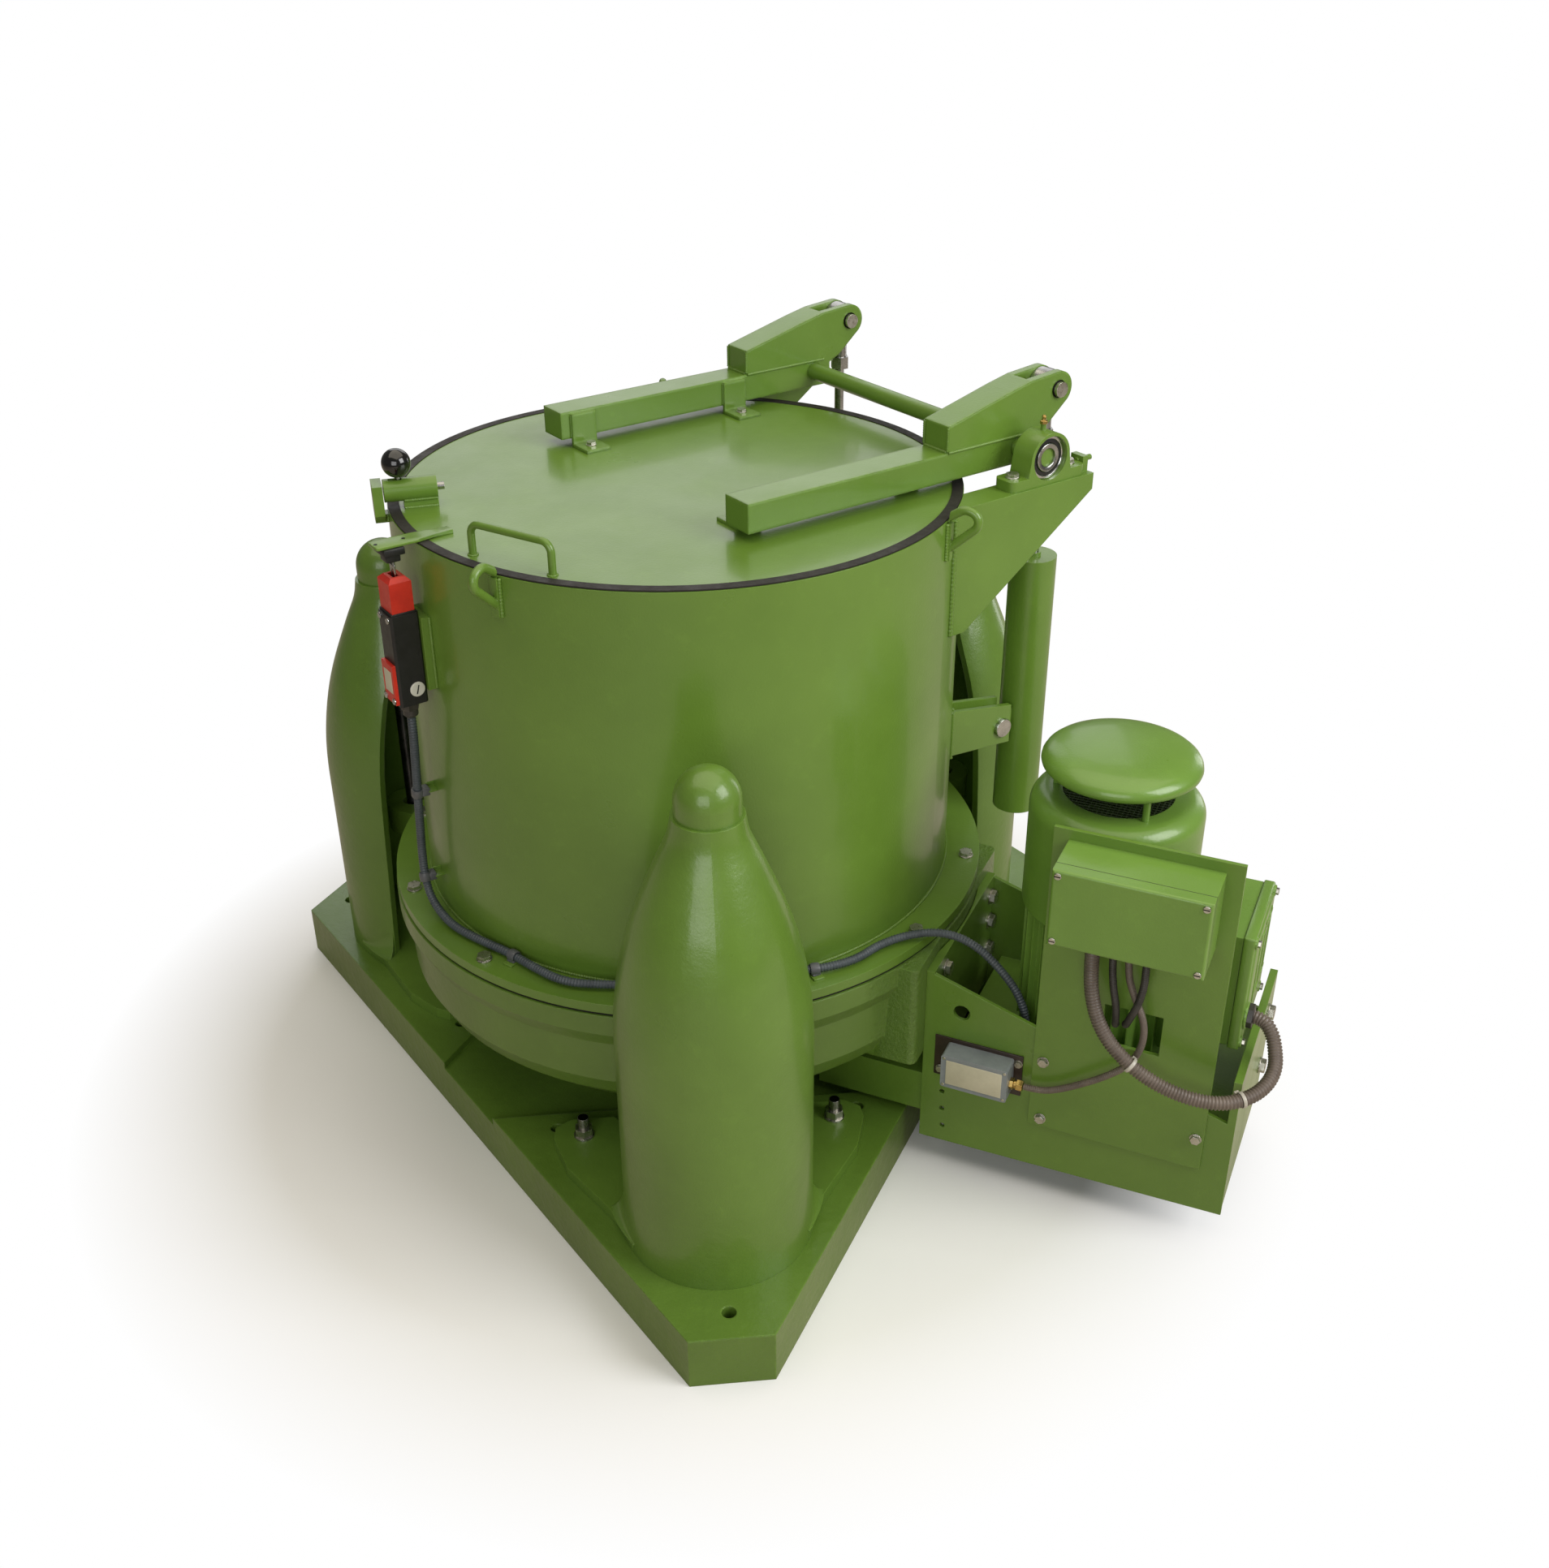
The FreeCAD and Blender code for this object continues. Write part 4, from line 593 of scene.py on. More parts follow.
def ribbed(route, r, pitch=4.4):
    """Corrugated conduit: rings of two radii along the route's line."""
    line = spread(spline_points(route), pitch / 4)
    return Shape().tube(line, lambda i: r if i % 4 < 2 else r * (1 - RIB_DEPTH), 18), line


# Routes as in the part's source. The first is in (distance, angle, height) round the basket axis.
SWITCH_ROUTE = [(432, -121, 735), (432, -121, 710), (430, -122.3, 668), (427, -124.7, 600),
                (426, -126.2, 540), (426, -127.3, 490), (426, -127.6, 450), (426, -125.6, 420),
                (424, -121, 406), (422, -115.5, 402),
                (414, -108.5, 401.5), (410, -101.5, 402), (419, -94.5, 402), (431, -87, 401),
                (422, -79.5, 402), (411, -72.5, 401), (417, -65.5, 402), (425, -58.5, 401),
                (415, -51.5, 402), (410, -44.5, 401), (424, -38, 402), (431, -31, 401),
                (424, -24.5, 402), (441, -18, 404)]
SWITCH_DROP = [(462, -117, 407), (504, -105, 390), (545, -101, 353), (577, -104, 316),
               (592, -110, 268), (592, -110, 205)]
MOTOR_LEAD = [(686, -182, 493), (686, -182, 452), (693, -187, 405), (712, -192, 360),
              (748, -195, 324), (795, -197, 300), (845, -195, 290), (884, -185, 289),
              (914, -161, 293), (930, -135, 301), (934, -110, 312), (928, -88, 324),
              (920, -72, 337), (904, -58, 348), (883.2, -58, 348)]
SENSOR_LEAD = [(733, -175, 493), (733, -175, 455), (746, -172, 415), (763, -168, 376),
               (764, -166, 334), (749, -166, 296), (717, -167, 266), (684, -166, 241),
               (653, -163, 219), (627, -161, 207.5), (605, -161, 207.5)]
PANEL_LEADS = {
    "panel_lead_left": [(712, -176, 505), (712, -176, 470), (717, -178, 430), (724, -176, 398),
                        (724, -168, 368), (722, -156, 350), (720, -140, 342)],
    "panel_lead_right": [(757, -176, 505), (757, -176, 470), (758, -178, 438), (752, -177, 405),
                         (742, -168, 374), (736, -156, 354), (733, -140, 344)],
}
CONDUIT_R = 6.2
CLIPS_AT = (0.1, 0.206, 0.358, 0.671)     # along the conduit: two on the casing, two on the flange
CASING_CLIPS = 2
MOTOR_LEAD_R = 10
SENSOR_LEAD_R = 5
PANEL_LEAD_R = 5.2
TIES_AT = (0.379, 0.686)                  # along the motor lead


def sleeve(line, at, r, width, wall=1.6, lug=None):
    """A short closed band round the route, with an optional box on its outside."""
    steps = [(b - a).length for a, b in zip(line, line[1:])]
    goal = at * sum(steps)
    i = 0
    while goal > steps[i]:
        goal -= steps[i]
        i += 1
    spot = line[i]
    way = (line[min(i + 3, len(line) - 1)] - line[max(i - 3, 0)]).normalized()
    matrix = shift(*spot) @ way.to_track_quat("Z", "Y").to_matrix().to_4x4()
    h = width / 2
    ring = [(r, -h), (r + wall * 0.7, -h), (r + wall, -h * 0.6), (r + wall, h * 0.6), (r + wall * 0.7, h),
            (r, h), (r, -h)]
    shape = Shape().lathe(ring, matrix, 32)
    if lug:
        shape.box(*lug, 0.6, matrix)
    return shape, spot


def conduit_clip(number, line, at):
    """A grey saddle round the conduit on a green tab, which stands on the casing or the flange."""
    clip, spot = sleeve(line, at, CONDUIT_R + 0.1, 13, 2.4)
    place = turn(math.degrees(math.atan2(spot.y, spot.x)))
    r = spot.xy.length
    tab = Shape()
    if number <= CASING_CLIPS:
        wall = CASING_R - 1
        clip.box((wall + 12, -7.5, spot.z - 6), (r - 5, 7.5, spot.z + 6), 1.2, place)
        tab.box((wall, -9, spot.z - 7), (wall + 14, -7, spot.z + 7), 0.4, place)
        tab.box((wall, -9, spot.z - 1), (wall + 14, 9, spot.z + 1), 0.4, place)
    else:
        clip.box((r - 8, -6.5, FLANGE_TOP + 2), (r + 8, 6.5, spot.z - 4), 1.2, place)
        tab.box((r - 12, -8, FLANGE_TOP - 0.5), (r + 15, 8, FLANGE_TOP + 2.5), 0.5, place)
    clip.piece("conduit_clip_%d" % number, "bowl", CLIP, "gland", sharp=40)
    tab.piece("conduit_tab_%d" % number, "bowl", GREEN, "green_enamel")


def lead(node, route, r, pitch, ties_at=()):
    """A lead of the motor bracket, built together with its cable ties."""
    shape, line = ribbed(route, r, pitch)
    cord = shape.piece("ribbed_" + node, "bowl", BROWN_CONDUIT, "conduit_brown", (node,), 80)
    for number, at in enumerate(ties_at, 1):
        tie, _ = sleeve(line, at, r + 0.1, 5, 1.3, ((r, -3.5, -3.5), (r + 6, 3.5, 3.5)))
        tie.piece("cable_tie_%d" % number, "bowl", TIE, "conduit_brown", sharp=40)


def conduits():
    route = [polar(*p) for p in SWITCH_ROUTE] + [Vector(p) for p in SWITCH_DROP]
    shape, line = ribbed(route, CONDUIT_R)
    shape.piece("ribbed_switch_conduit", "bowl", GREY_CONDUIT, "conduit_grey", ("switch_conduit",), 80)
    for number, at in enumerate(CLIPS_AT, 1):
        conduit_clip(number, line, at)
    lead("motor_lead", MOTOR_LEAD, MOTOR_LEAD_R, 4.6, TIES_AT)
    lead("sensor_lead", SENSOR_LEAD, SENSOR_LEAD_R, 3.0)
    for name, route in PANEL_LEADS.items():
        shape, line = ribbed(route, PANEL_LEAD_R, 3.2)
        shape.piece(name, "bowl", DARK_CONDUIT, "conduit_brown", (), 80)


# ---- detail pieces ------------------------------------------------------
def column_fillet(shape, side):
    """One cast fillet round the bell's foot, which grows towards the foot's ear."""
    mesh = bmesh.new()
    rows = []
    for i in range(25):
        t = i / 24
        a = math.radians(side * (66 + 33.5 * t))
        reach = 2 + 21 * t ** 1.5
        high = 4 + 46 * t ** 1.5
        section = []
        for k in range(9):
            q = math.radians(90 * k / 8)
            section.append((COLUMN_BELL_R - 0.2 + reach * (1 - math.sin(q)),
                            FOOT_TOP - 0.4 + high * (1 - math.cos(q))))
        section += [(COLUMN_BELL_R - 3, FOOT_TOP - 0.4 + high), (COLUMN_BELL_R - 3, FOOT_TOP - 1),
                    (COLUMN_BELL_R + reach, FOOT_TOP - 1)]
        rows.append([mesh.verts.new((r * math.cos(a), r * math.sin(a), z)) for r, z in section])
    for low, high in zip(rows, rows[1:]):
        for k in range(len(low)):
            m = (k + 1) % len(low)
            mesh.faces.new((low[k], low[m], high[m], high[k]))
    mesh.faces.new(rows[0])
    mesh.faces.new(rows[-1][::-1])
    bmesh.ops.recalc_face_normals(mesh, faces=mesh.faces)
    shape.add(mesh)


def column_fillets():
    """The cast fillets that run from each bell down to its two ears."""
    for letter, angle in COLUMN_ANGLES.items():
        shape = Shape(turn(angle) @ shift(COLUMN_R, 0, 0))
        for side in (1, -1):
            column_fillet(shape, side)
        shape.piece("column_%s_fillets" % letter, "pedestal", GREEN_CAST, "green_enamel")


def stud_ends():
    """The dark threaded ends of the foot studs above their nuts."""
    r, root = 8.3, 7.6
    seat, tip, pitch = 115.5, 134.3, 1.9
    profile = [(0, seat), (r, seat)]
    z = seat + 0.5
    while z < tip - 1.8:
        profile += [(r, z), (root, z + 0.9), (r, z + 1.8)]
        z += pitch
    profile += [(r - 0.9, tip), (0, tip)]
    shape = Shape()
    for angle in COLUMN_ANGLES.values():
        for side in (-1, 1):
            spot = turn(angle) @ Vector((FOOT_EAR[0], side * FOOT_EAR[1], 0))
            shape.lathe(profile, shift(*spot), 24)
    shape.piece("stud_ends", "pedestal", BLACK_STEEL, "zinc", sharp=25)


def hinge_details():
    """Bearing rings with seal and sleeve, grease nipples, heads of the trunnion pins, and dark rings at the
    ear pins that paint the shade of their holes.
    """
    chrome = Shape()
    seal = Shape()
    inner = Shape()
    nipple = Shape()
    heads = Shape()
    rings = Shape()
    end = SHAFT_HALF
    race = 26                    # between the outer ring and the seal
    outer_ring = [(race, end), (BEARING_R - 0.3, end), (BEARING_R - 0.3, end + 2.4), (BEARING_R - 1, end + 3),
                  (race + 0.8, end + 3), (race, end + 2.2), (race, end)]
    lip = INNER_RING_R + 0.6
    seal_ring = [(lip, end), (race, end), (race, end + 1.6), (race - 2, end + 2.2), (lip, end + 1.9),
                 (lip, end)]
    bore, rim = SHAFT_R + 0.1, INNER_RING_R - 0.1
    sleeve_ring = [(bore, end - 0.5), (rim, end - 0.5), (rim, end + 3.6), (rim - 0.7, end + 4.2),
                   (bore + 0.9, end + 4.2), (bore, end + 3.5), (bore, end - 0.5)]
    nipple_profile = [(0, 0), (5.4, 0), (5.4, 4), (3.4, 5), (2.6, 8), (3.2, 10), (1.6, 12), (0, 12)]
    seat, top = PIVOT_HEAD
    head_profile = [(0, seat), (15.2, seat), (15.2, top - 1.1), (14.2, top), (0, top)]
    for place in (HINGE, FAR):
        out = place @ shift(HINGE_T, 0, HINGE_Z) @ tilt("X", 90)
        chrome.lathe(outer_ring, out)
        seal.lathe(seal_ring, out)
        inner.lathe(sleeve_ring, out)
        nipple.lathe(nipple_profile, place @ shift(HINGE_T, -BLOCK_S, BLOCK_TOP), 20)
        heads.lathe(head_profile, place @ shift(PIVOT_T, 0, PIVOT_Z) @ tilt("X", 90), 48)
        # Painted shade: a dark ring round each ear pin stands for the shaded gap of its hole.
        for s in (ARM_S[1] + 0.4, ARM_S[0] - 0.4):
            pin = place @ shift(EAR_T, -s, EAR_Z) @ tilt("X", 90)
            rings.lathe([(11, -0.5), (12.6, -0.5), (12.6, 0.5), (11, 0.5), (11, -0.5)], pin, 40)
    chrome.piece("bearing_rings", "bowl", CHROME, "steel")
    seal.piece("bearing_seals", "bowl", BLACK, "steel")
    inner.piece("bearing_sleeves", "lid", STEEL, "steel")
    nipple.piece("grease_nipples", "bowl", BRASS, "zinc")
    heads.piece("trunnion_pin_heads", "bowl", STEEL, "steel")
    rings.piece("ear_pin_hole_shade", "lid", BLACK_STEEL, "zinc")


def upright_weld(shape, place, s, heights, r, seed):
    """An upright bead on the casing, s to one side of the hinge direction."""
    x = math.sqrt(WELD_R * WELD_R - s * s)
    shape.weld([place @ Vector((x, -s, z)) for z in heights], r, seed)


def casing_welds():
    """Fillet welds of bracket webs, forks, lugs, catch plate, switch bracket and flange."""
    shape = Shape()
    for place, seed in ((HINGE, 3), (FAR, 4)):
        for s in (BRACKET_S[1] + 1.5, BRACKET_S[0] - 1.5):
            upright_weld(shape, place, s, BRACKET_WELD_Z, 4.2, seed)
        for s, off in zip(FORK_SIDES, (1.5, -1.5, 1.5, -1.5)):
            upright_weld(shape, place, s + off, FORK_WELD_Z, 3.4, seed + 5)
    for angle in LUG_ANGLES:
        for side in (-LUG_ROD_R - 0.5, LUG_ROD_R + 0.5):
            shape.weld([turn(angle) @ Vector((WELD_R, side, z)) for z in LUG_BAR_Z], 3, 11)
    for side in (-9.8, 9.8):
        shape.weld([turn(LATCH_ANGLE) @ Vector((CASING_R + 1, side, z)) for z in CATCH_WELD_Z], 2.2, 12)
    for side in (-SWITCH_BRACKET_HALF - 0.5, SWITCH_BRACKET_HALF + 0.5):
        shape.weld([turn(SWITCH_ANGLE) @ Vector((CASING_R + 0.6, side, z)) for z in SWITCH_WELD_Z], 2.4, 13)
    shape.weld([polar(WELD_R, a, FLANGE_TOP + 0.9) for a in range(0, 361, 3)], 2.6, 14)
    shape.piece("casing_welds", "bowl", GREEN, "green_enamel", sharp=80)


def lid_welds():
    """Fillet welds of the arms' gussets and feet, the latch barrel and the handle."""
    shape = Shape()
    front = GUSSET_T - 1.5
    for place, seed in ((HINGE, 21), (FAR, 22)):
        for s, inward in ((ARM_S[1] + 0.6, 1.2), (ARM_S[0] - 0.6, -1.2)):
            shape.weld([place @ Vector((x, -s, ARM_Z[1] + 0.5)) for x in (GUSSET_T, 420)], 2.2, seed)
            shape.weld([place @ Vector((front + 0.1, -s + inward, z)) for z in (1030, 1062)], 2.2, seed + 1)
        shape.weld([place @ Vector((front - 0.1, -s, ARM_Z[1] + 0.8)) for s in (ARM_S[1] - 2, ARM_S[0] + 2)],
                   2.6, seed + 2)
        for t in ARM_FEET_T:
            for edge in (-ARM_FOOT_HALF, ARM_FOOT_HALF):
                shape.weld([place @ Vector((t + edge, 0.6 - ARM_S[0], z)) for z in (989, 1021)], 2, seed + 3)
    for side in (-9.6, 9.6):
        for y, z, r, seed in ((side * 0.98, LID_TOP + 0.8, 2.4, 25), (side * 1.06, LID_TOP + 11.4, 2.2, 26)):
            shape.weld([turn(LATCH_ANGLE) @ Vector((x, y, z)) for x in LATCH_FOOT], r, seed)
    for x, y in HANDLE_FEET:
        ring = [polar(5.8, 20 * k, LID_TOP + 0.6) + Vector((x, y, 0)) for k in range(19)]
        shape.weld(ring, 1.6, 27)
    shape.piece("lid_welds", "lid", GREEN, "green_enamel", sharp=80)


def both_sides(half):
    """A narrow outline closed by its mirror image."""
    return half + [(x, -y) for x, y in reversed(half)]


def interlock_key():
    """Key bar on the lid, the holder below it and the forked key."""
    place = turn(SWITCH_ANGLE)
    root, end = KEY_BAR
    bar = Shape()
    half = [(end, 13), (end - 3, 15), (398, 15), (376, 9), (root, 8)]
    bar.plate(both_sides(half), LID_TOP + 1.6, LID_TOP + 5.5, place)
    bar.box((root, -8, LID_TOP), (376, 8, LID_TOP + 2.5), 0.8, place)
    bar.piece("key_bar", "lid", GREEN, "green_enamel", ("switch_key",))
    # Painted shade: thin dark discs at the bar's two holes stand for the shade in them.
    screws = Shape()
    for x in (SWITCH_R - 19, SWITCH_R + 19):
        screws.rod(place @ Vector((x, 0, LID_TOP + 5.3)), place @ Vector((x, 0, LID_TOP + 6)), 2.4, 20)
    screws.piece("key_bar_hole_shade", "lid", BLACK_STEEL, "steel")
    holder = Shape()
    holder.plate([(448, 18), (448, -18), (419, -18), (419, 18)], LID_TOP - 8.8, LID_TOP + 1.4, place, 2)
    holder.plate([(443, 11), (443, -11), (423, -11), (423, 11)], LID_TOP - 19.8, LID_TOP - 7, place, 2.5)
    holder.piece("key_holder", "lid", BLACK, "black_plastic")
    key = Shape()
    left, right = (-6.8, -3.4, 1.3, KEY_TIP + 0.2, 955), (3.4, 6.8, 1.3, KEY_TIP + 0.2, 955)
    web = (-6.9, 6.9, 1.4, 944, 949)
    for y0, y1, half, low, high in (right, left, web):
        x0, x1 = SWITCH_R - half, SWITCH_R + half
        key.plate([(x1, y1), (x1, y0), (x0, y0), (x0, y1)], low, high, place, 0.4)
    key.piece("key_blade", "lid", STEEL, "steel")


def switch_details():
    """Blank plug with the painted shade of its slot, screws, bare label and collar of the lid switch."""
    place = turn(SWITCH_ANGLE)
    side = place @ shift(SWITCH_R - 5.5, SWITCH_HALF, SWITCH_Z[0] + 22) @ tilt("X", -90)
    plug = Shape().lathe([(0, 0), (10.4, 0), (10.4, 1.4), (9.4, 2.2), (0, 2.2)], side, 40)
    plug.piece("switch_blank_plug", "bowl", WHITE, "black_plastic")
    # Painted shade: a thin black strip on the plug stands for its screwdriver slot.
    slot = Shape().box((-6.5, -0.9, 2.0), (6.5, 0.9, 2.35), 0, side @ turn(75))
    slot.piece("switch_plug_slot_shade", "bowl", BLACK, "black_plastic")
    face = place @ shift(SWITCH_R + SWITCH_HALF, 0, 0) @ tilt("Y", 90)
    screws = Shape()
    for z, half, out in ((SWITCH_Z[1] - 6, 12.5, 0), (SWITCH_Z[0] + 9, 13, 5)):
        for y in (half, -half):
            screws.lathe([(0, out), (4.4, out), (4.4, out + 1.6), (3.6, out + 2.4), (0, out + 2.4)],
                         face @ shift(-z, y, 0), 24)
    screws.piece("switch_screws", "bowl", STEEL, "steel")
    label = Shape().box((COVER_FACE - 0.1, -11.5, 774), (COVER_FACE + 0.5, 11.5, 806), 0.25, place)
    label.piece("switch_bare_label", "bowl", CREAM, "red_plastic")
    foot = SWITCH_Z[1]
    collar = Shape().box((SWITCH_R - 17.5, -19.2, foot - 1.2), (SWITCH_R + 17.5, 19.2, foot + 3), 1.0, place)
    collar.piece("switch_collar", "bowl", BLACK, "black_plastic")


def fittings():
    """Dark glands of the conduits and leads, and the plated gland of the sensor box."""
    dark = Shape()
    top = polar(SWITCH_R, SWITCH_ANGLE, SWITCH_Z[0])
    dark.hexagon(23, top, DOWN, 13)
    below = shift(*(top - Z * 12.5)) @ tilt("X", 180)
    dark.lathe([(0, 0), (10.5, 0), (10.2, 9), (7.4, 12), (0, 12)], below, 32)
    glands = [(MOTOR_LEAD[0], 34, 12), (SENSOR_LEAD[0], 20, 11)]
    glands += [(route[0], 20, 9) for route in PANEL_LEADS.values()]
    for start, across, high in glands:
        dark.hexagon(across, (start[0], start[1], JBOX_Z[0]), DOWN, high)
    dark.hexagon(30, (TBOX_COVER, *MOTOR_LEAD[-1][1:]), (1, 0, 0), 8)
    dark.piece("dark_glands", "bowl", DARK_CONDUIT, "gland", ("conduit_fittings",))
    gland = Shape()
    wall = SENSOR_X[1]
    y, z = SENSOR_LEAD[-1][1:]
    gland.hexagon(15, (wall, y, z), (1, 0, 0), 6)
    gland.rod((wall + 6, y, z), (wall + 10, y, z), 6.4, 24, 0.6)
    gland.hexagon(15, (wall + 10, y, z), (1, 0, 0), 9, 20)
    gland.piece("sensor_gland", "bowl", BRASS, "gland")


def junction_details():
    """Lid screws with painted shade in their slots, and seam of the junction box."""
    screws = Shape()
    # Painted shade: a thin black strip on each screw head stands for its slot.
    slot_shade = Shape()
    inset = 8
    for x in (JBOX_X[0] + inset, JBOX_X[1] - inset):
        for z in (JBOX_Z[0] + inset, JBOX_Z[1] - inset):
            screws.rod((x, JBOX_FACE + 0.4, z), (x, JBOX_FACE - 2.2, z), 5, 24, 0.8)
            slot_shade.box((x - 4.2, JBOX_FACE - 2.45, z - 0.7), (x + 4.2, JBOX_FACE - 2.1, z + 0.7), 0)
    screws.piece("junction_box_screws", "bowl", ZINC, "zinc")
    slot_shade.piece("junction_screw_slot_shade", "bowl", BLACK_STEEL, "zinc")
    seam = Shape().box((JBOX_X[0] - 0.1, JBOX_JOINT - 0.5, JBOX_Z[0] - 0.1),
                       (JBOX_X[1] + 0.1, JBOX_JOINT + 0.3, JBOX_Z[1] + 0.1), 0)
    seam.piece("junction_box_seam", "bowl", BLACK, "black_rubber")


def bracket_bolts():
    """Bolts of the motor bracket: near side, plate on the pan, end plate."""
    bolts = Shape()
    for x, z, spin in ((627, 250, 10), (630, 148, 25), (849, 187, 0)):
        bolts.bolt(8, (x, BRACKET_FACE, z), (0, -1, 0), spin)
    for y, z in ((-92, 328), (122, 322), (122, 277), (122, 226), (-92, 240)):
        bolts.bolt(12, (BRACKET_PAD_X, y, z), (1, 0, 0), 12)
    for y, z in ((87, 257), (95, 152)):
        bolts.bolt(12, (BRACKET_END_X, y, z), (1, 0, 0), 5)
    bolts.piece("bracket_bolts", "bowl", ZINC, "zinc")


def sensor_details():
    """Bare label, dark mounting plate and screws of the sensor box."""
    (x0, x1), (z0, z1) = SENSOR_X, SENSOR_Z
    label = Shape().box((x0 + 8, SENSOR_FACE - 1.2, z0 + 7), (x1 - 8, SENSOR_FACE + 0.1, z1 - 7), 0.5)
    label.piece("sensor_bare_label", "bowl", CREAM, "grey_box")
    rear = BOX_WALL_Y - 0.2
    base = Shape().box((x0 - 20.5, rear - 3, z0 - 8.4), (x1 + 12.4, rear, z1 + 6.4), 0.8)
    base.piece("sensor_dark_plate", "bowl", DARK_PLATE, "grey_box")
    screws = Shape()
    inset = 4.5
    for x in (x0 + inset, x1 - inset):
        for z in (z0 + inset, z1 - inset):
            screws.rod((x, SENSOR_FACE + 0.2, z), (x, SENSOR_FACE - 1, z), 2.4, 20, 0.3)
    for x, z in ((x0 - 11, z0 + 4), (x1 + 6, z1 - 7)):
        screws.bolt(6, (x, BOX_WALL_Y - 3, z), (0, -1, 0), 8)
    screws.piece("sensor_screws", "bowl", ZINC, "zinc")


def motor_details():
    """Smooth fan cowl, wire mesh over its opening, and the rain hood on three posts."""
    axis = shift(MOTOR_X, 0, 0)
    x, z = COWL_R - COWL_BEND, COWL_TOP - COWL_BEND
    bend = [(COWL_BEND * math.sin(math.radians(9 * k)), COWL_BEND * math.cos(math.radians(9 * k)))
            for k in range(11)]
    outside = [(FRAME_R, 447), (COWL_R, 447)] + [(x + c, z + q) for q, c in bend]
    inside = [(x + c * INNER_BEND, z + q * INNER_BEND) for q, c in reversed(bend)]
    profile = outside + [(GRILLE_R, COWL_TOP), (GRILLE_R, COWL_TOP - COWL_WALL)] + inside
    profile += [(COWL_R - COWL_WALL, 461), (FRAME_R, 461), (FRAME_R, 447)]
    shell = Shape(axis).lathe(profile, steps=128)
    shell.piece("smooth_cowl", "bowl", GREEN_BRIGHT, "green_enamel", ("motor_cowl",))
    wires = Shape(axis)
    pitch, half_wire = 6.5, 0.75
    for i in range(-11, 12):
        d = i * pitch
        half = math.sqrt((GRILLE_R + 0.5) ** 2 - d * d)
        wires.box((-half, d - half_wire, COWL_TOP - 1.6), (half, d + half_wire, COWL_TOP - 0.2), 0)
        wires.box((d - half_wire, -half, COWL_TOP - 2.6), (d + half_wire, half, COWL_TOP - 1.2), 0)
    wires.piece("cowl_wire_mesh", "bowl", MESH, "green_enamel")
    hood = Shape(axis)
    low, top = HOOD_Z
    edge = [(94, low + 1.5), (99, low + 0.2), (104, low + 1.2), (107.4, low + 4.2), (108.5, low + 8),
            (107.7, low + 12.5), (104.8, low + 17.5), (99.5, low + 22), (91, low + 25.6), (78, low + 28.8),
            (60, low + 31.4), (40, low + 33), (20, low + 33.8), (0, top)]
    under = [(0, top - 3), (30, top - 3.4), (60, top - 5.6), (84, top - 9.5), (99, top - 15.5),
             (104.3, top - 21.5), (105, top - 26), (103, top - 29.2), (98, top - 30.8), (94, top - 30.4),
             (94, low + 1.5)]
    hood.lathe(edge + under, steps=128)
    for a in (68, 188, 308):
        spot = polar(84.5, a, 0)
        hood.rod(spot + Z * COWL_TOP, spot + Z * (top - 9), 5)
    hood.piece("smooth_hood", "bowl", GREEN_BRIGHT, "green_enamel", ("motor_hood",))


def terminal_details():
    """Cover of the motor's terminal box: rim, raised panel, ribs, corner lugs with screws."""
    face = TBOX_COVER - 4
    (low, high), half = TBOX_Z, TBOX_HALF
    corners = [(y, z) for y in (-half + 6, half - 6) for z in (low + 7, high - 7)]
    lid = Shape()
    lid.box((TBOX_JOINT + 0.5, -half - 3, low - 3), (face, half + 3, high + 3), 2.5)
    lid.box((face - 7, -half + 6, low + 6), (face + 2.5, half - 6, high - 6), 4)
    for y in (-30, 8, 46):
        lid.box((face, y - 2.5, 350), (TBOX_COVER, y + 2.5, 464), 0.8)
    for z in (360, 454):
        lid.box((face, -30, z - 2.5), (TBOX_COVER, 56, z + 2.5), 0.8)
    y, z = MOTOR_LEAD[-1][1:]
    lid.rod((face, y, z), (TBOX_COVER, y, z), 20, 40, 1)
    for y, z in corners:
        lid.rod((TBOX_JOINT + 1, y, z), (TBOX_COVER - 1, y, z), 8.5, 28, 1)
    lid.piece("ribbed_terminal_cover", "bowl", GREEN_BRIGHT, "green_enamel", ("terminal_box_lid",))
    seam = Shape().box((TBOX_JOINT - 2.4, -half + 0.4, low + 0.4),
                       (TBOX_JOINT + 0.4, half - 0.4, high - 0.4), 0)
    seam.piece("terminal_box_gasket", "bowl", BLACK, "black_rubber")
    screws = Shape()
    for y, z in corners:
        screws.hexagon(9, (TBOX_COVER - 1, y, z), (1, 0, 0), 4)
    screws.piece("terminal_cover_screws", "bowl", ZINC, "zinc")


conduits()
column_fillets()
stud_ends()
hinge_details()
casing_welds()
lid_welds()
interlock_key()
switch_details()
fittings()
junction_details()
bracket_bolts()
sensor_details()
motor_details()
terminal_details()


# ---- stage --------------------------------------------------------------
FLOOR_BOUNCE = linear(190, 178, 160)      # the floor's colour for light that bounces off it
FLOOR_HALF = 9                            # metres
FLOOR_FADE = (0.70, 1.0)                  # metres from the object, from floor to white field
MIRRORED = 0.04                           # share of the white field that mirror rays see


def white_share(tree):
    """How much of the white field a ray sees: all for the camera, a share for mirror rays."""
    rays = tree.nodes.new("ShaderNodeLightPath")
    mirror = tree.nodes.new("ShaderNodeMath")
    mirror.operation = "MULTIPLY_ADD"
    tree.links.new(rays.outputs["Is Glossy Ray"], mirror.inputs[0])
    mirror.inputs[1].default_value = MIRRORED
    tree.links.new(rays.outputs["Is Camera Ray"], mirror.inputs[2])
    total = tree.nodes.new("ShaderNodeMath")
    total.use_clamp = True
    tree.links.new(mirror.outputs["Value"], total.inputs[0])
    tree.links.new(rays.outputs["Is Transmission Ray"], total.inputs[1])
    return total.outputs["Value"]


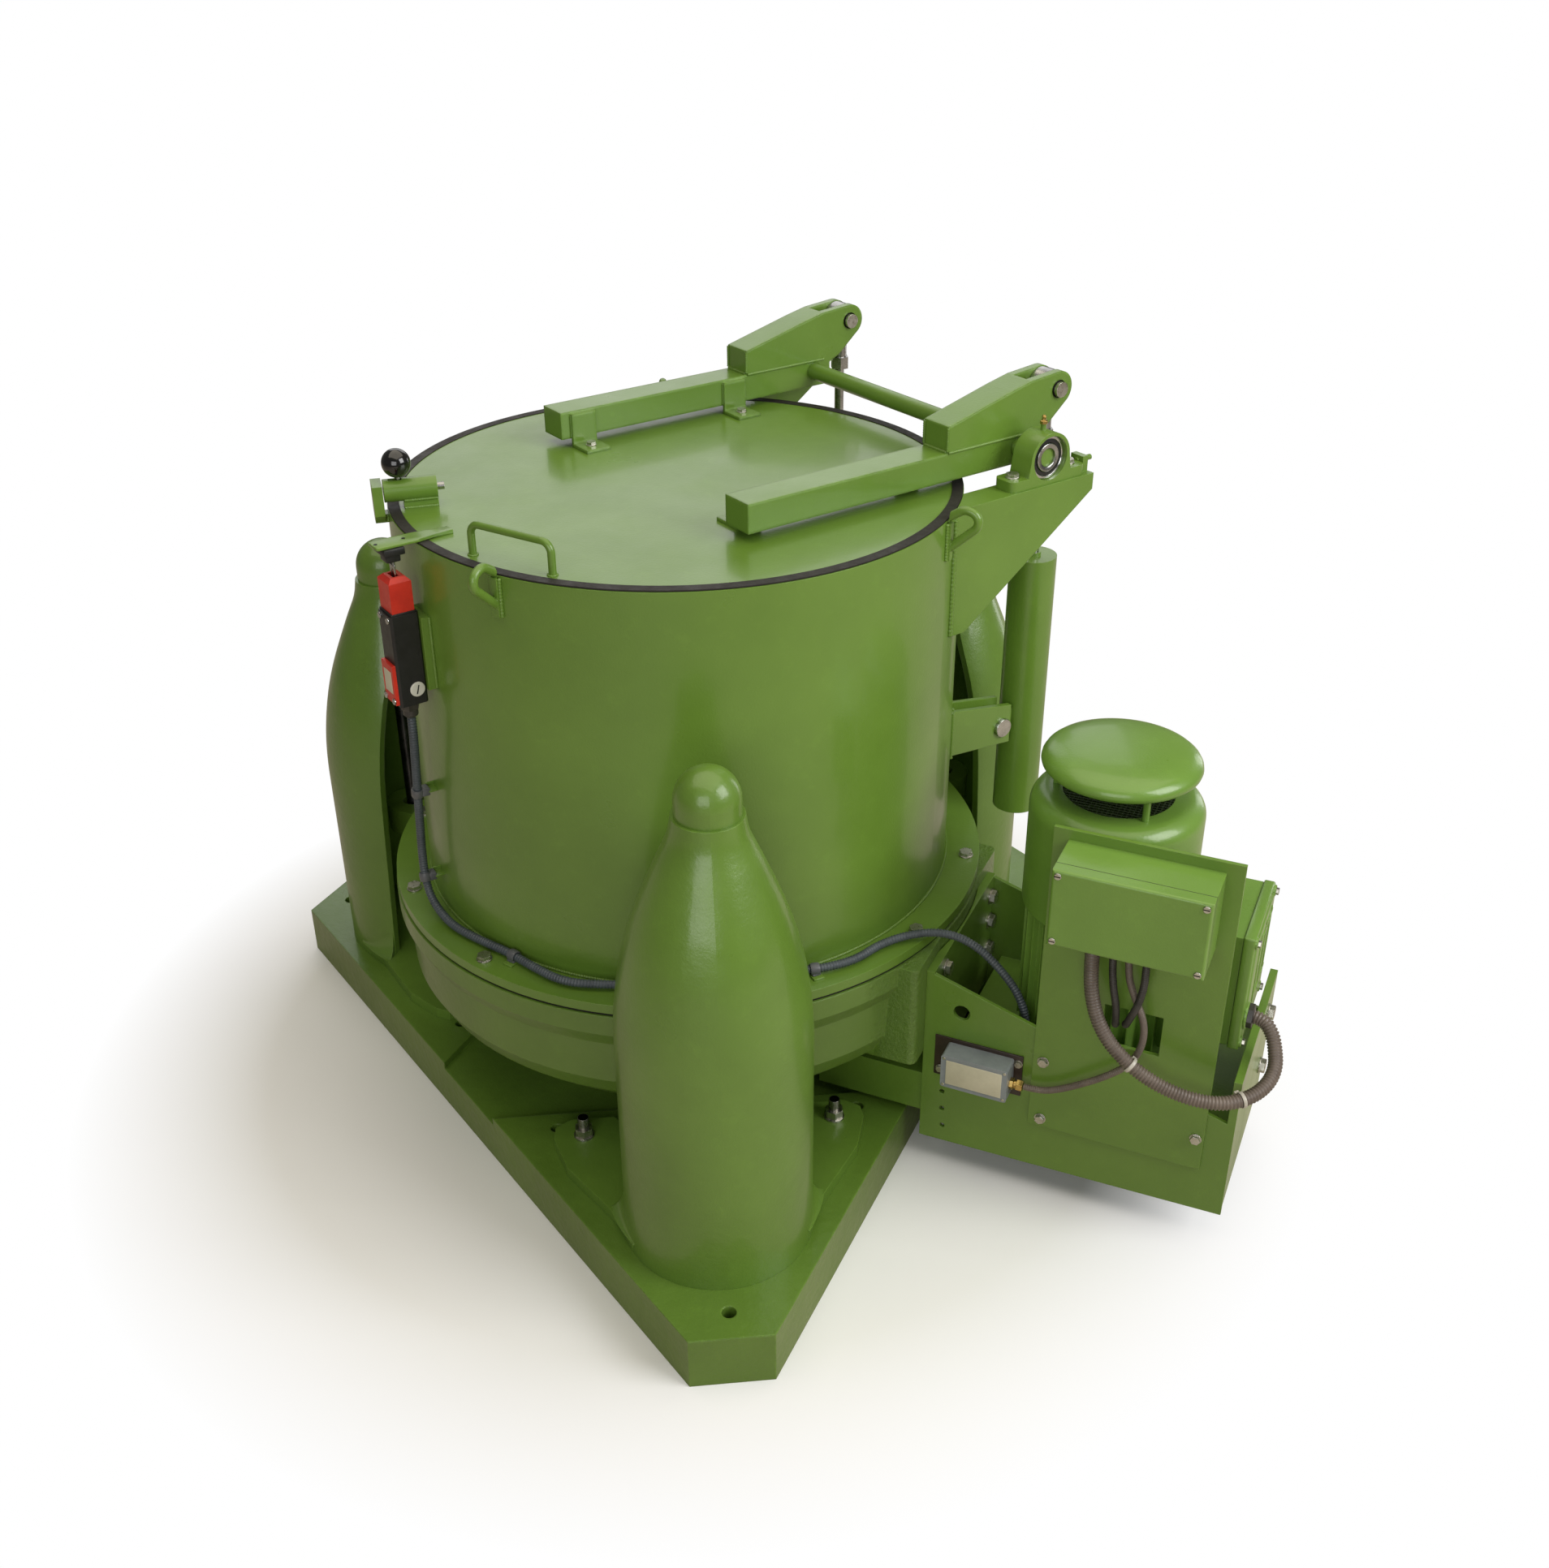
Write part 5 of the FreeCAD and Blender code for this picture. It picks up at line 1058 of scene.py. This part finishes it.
def stage():
    """Pale floor that goes over to a plain white field away from the object."""
    n = Nodes("floor")
    cloud = n.ramp(n.noise(1.3, 3), 0.3, 0.7)
    color = n.mix(cloud, (0.94, 0.935, 0.93, 1), (0.92, 0.915, 0.905, 1))
    share = white_share(n.tree)
    color = n.mix(share, FLOOR_BOUNCE, color)
    material = n.finish(color, Roughness=0.75)
    length = n.node("ShaderNodeVectorMath", operation="LENGTH")
    n.link(n.place, length.inputs[0])
    far = n.ramp(length.outputs["Value"], *FLOOR_FADE)
    glow = n.node("ShaderNodeEmission", Color=(1, 1, 1, 1))
    mix = n.node("ShaderNodeMixShader")
    n.link(n.multiply(far, share), mix.inputs["Fac"])
    n.link(n.shader.outputs["BSDF"], mix.inputs[1])
    n.link(glow.outputs["Emission"], mix.inputs[2])
    n.link(mix.outputs["Shader"], n.tree.nodes["Material Output"].inputs["Surface"])
    mesh = bpy.data.meshes.new("floor")
    h = FLOOR_HALF
    mesh.from_pydata([(-h, -h, 0), (h, -h, 0), (h, h, 0), (-h, h, 0)], [], [(0, 1, 2, 3)])
    mesh.materials.append(material)
    floor = bpy.data.objects.new("floor", mesh)
    bpy.context.scene.collection.objects.link(floor)


def lamp(name, place, aim, size, power, color=(1, 1, 1)):
    """A soft rectangular lamp; place, aim and size in metres, power in watts."""
    data = bpy.data.lights.new(name, "AREA")
    data.shape = "RECTANGLE"
    data.size, data.size_y = size
    data.energy = power
    data.color = color
    obj = bpy.data.objects.new(name, data)
    obj.location = place
    obj.rotation_euler = (Vector(aim) - Vector(place)).to_track_quat("-Z", "Y").to_euler()
    bpy.context.scene.collection.objects.link(obj)


def lights():
    """A wide softbox overhead, the key from the right, a pale wall behind; a white field for the camera."""
    world = bpy.data.worlds.new("world")
    world.use_nodes = True
    tree = world.node_tree
    background = tree.nodes["Background"]
    background.inputs["Color"].default_value = (0.82, 0.80, 0.70, 1)
    background.inputs["Strength"].default_value = 0.11
    white = tree.nodes.new("ShaderNodeBackground")
    white.inputs["Color"].default_value = (1, 1, 1, 1)
    mix = tree.nodes.new("ShaderNodeMixShader")
    tree.links.new(white_share(tree), mix.inputs["Fac"])
    tree.links.new(background.outputs["Background"], mix.inputs[1])
    tree.links.new(white.outputs["Background"], mix.inputs[2])
    tree.links.new(mix.outputs["Shader"], tree.nodes["World Output"].inputs["Surface"])
    bpy.context.scene.world = world
    lamp("overhead", (0.0, 0.0, 4.2), (0, 0, 0), (5.0, 5.0), 114, (1, 0.91, 0.76))
    lamp("key", (3.4, -0.3, 2.7), (0.1, 0, 0.6), (2.2, 2.2), 100)
    lamp("front", (1.1, -3.8, 1.9), (0.1, 0, 0.5), (2.6, 2.0), 46)
    lamp("wall", (-1.9, 3.4, 2.9), (0, 0, 0.9), (4.0, 2.4), 34)
    lamp("strip", (1.7, 3.3, 0.9), (0.2, 0, 0.6), (0.7, 1.7), 9)


stage()
lights()
scene = bpy.context.scene
scene.view_settings.view_transform = "Standard"
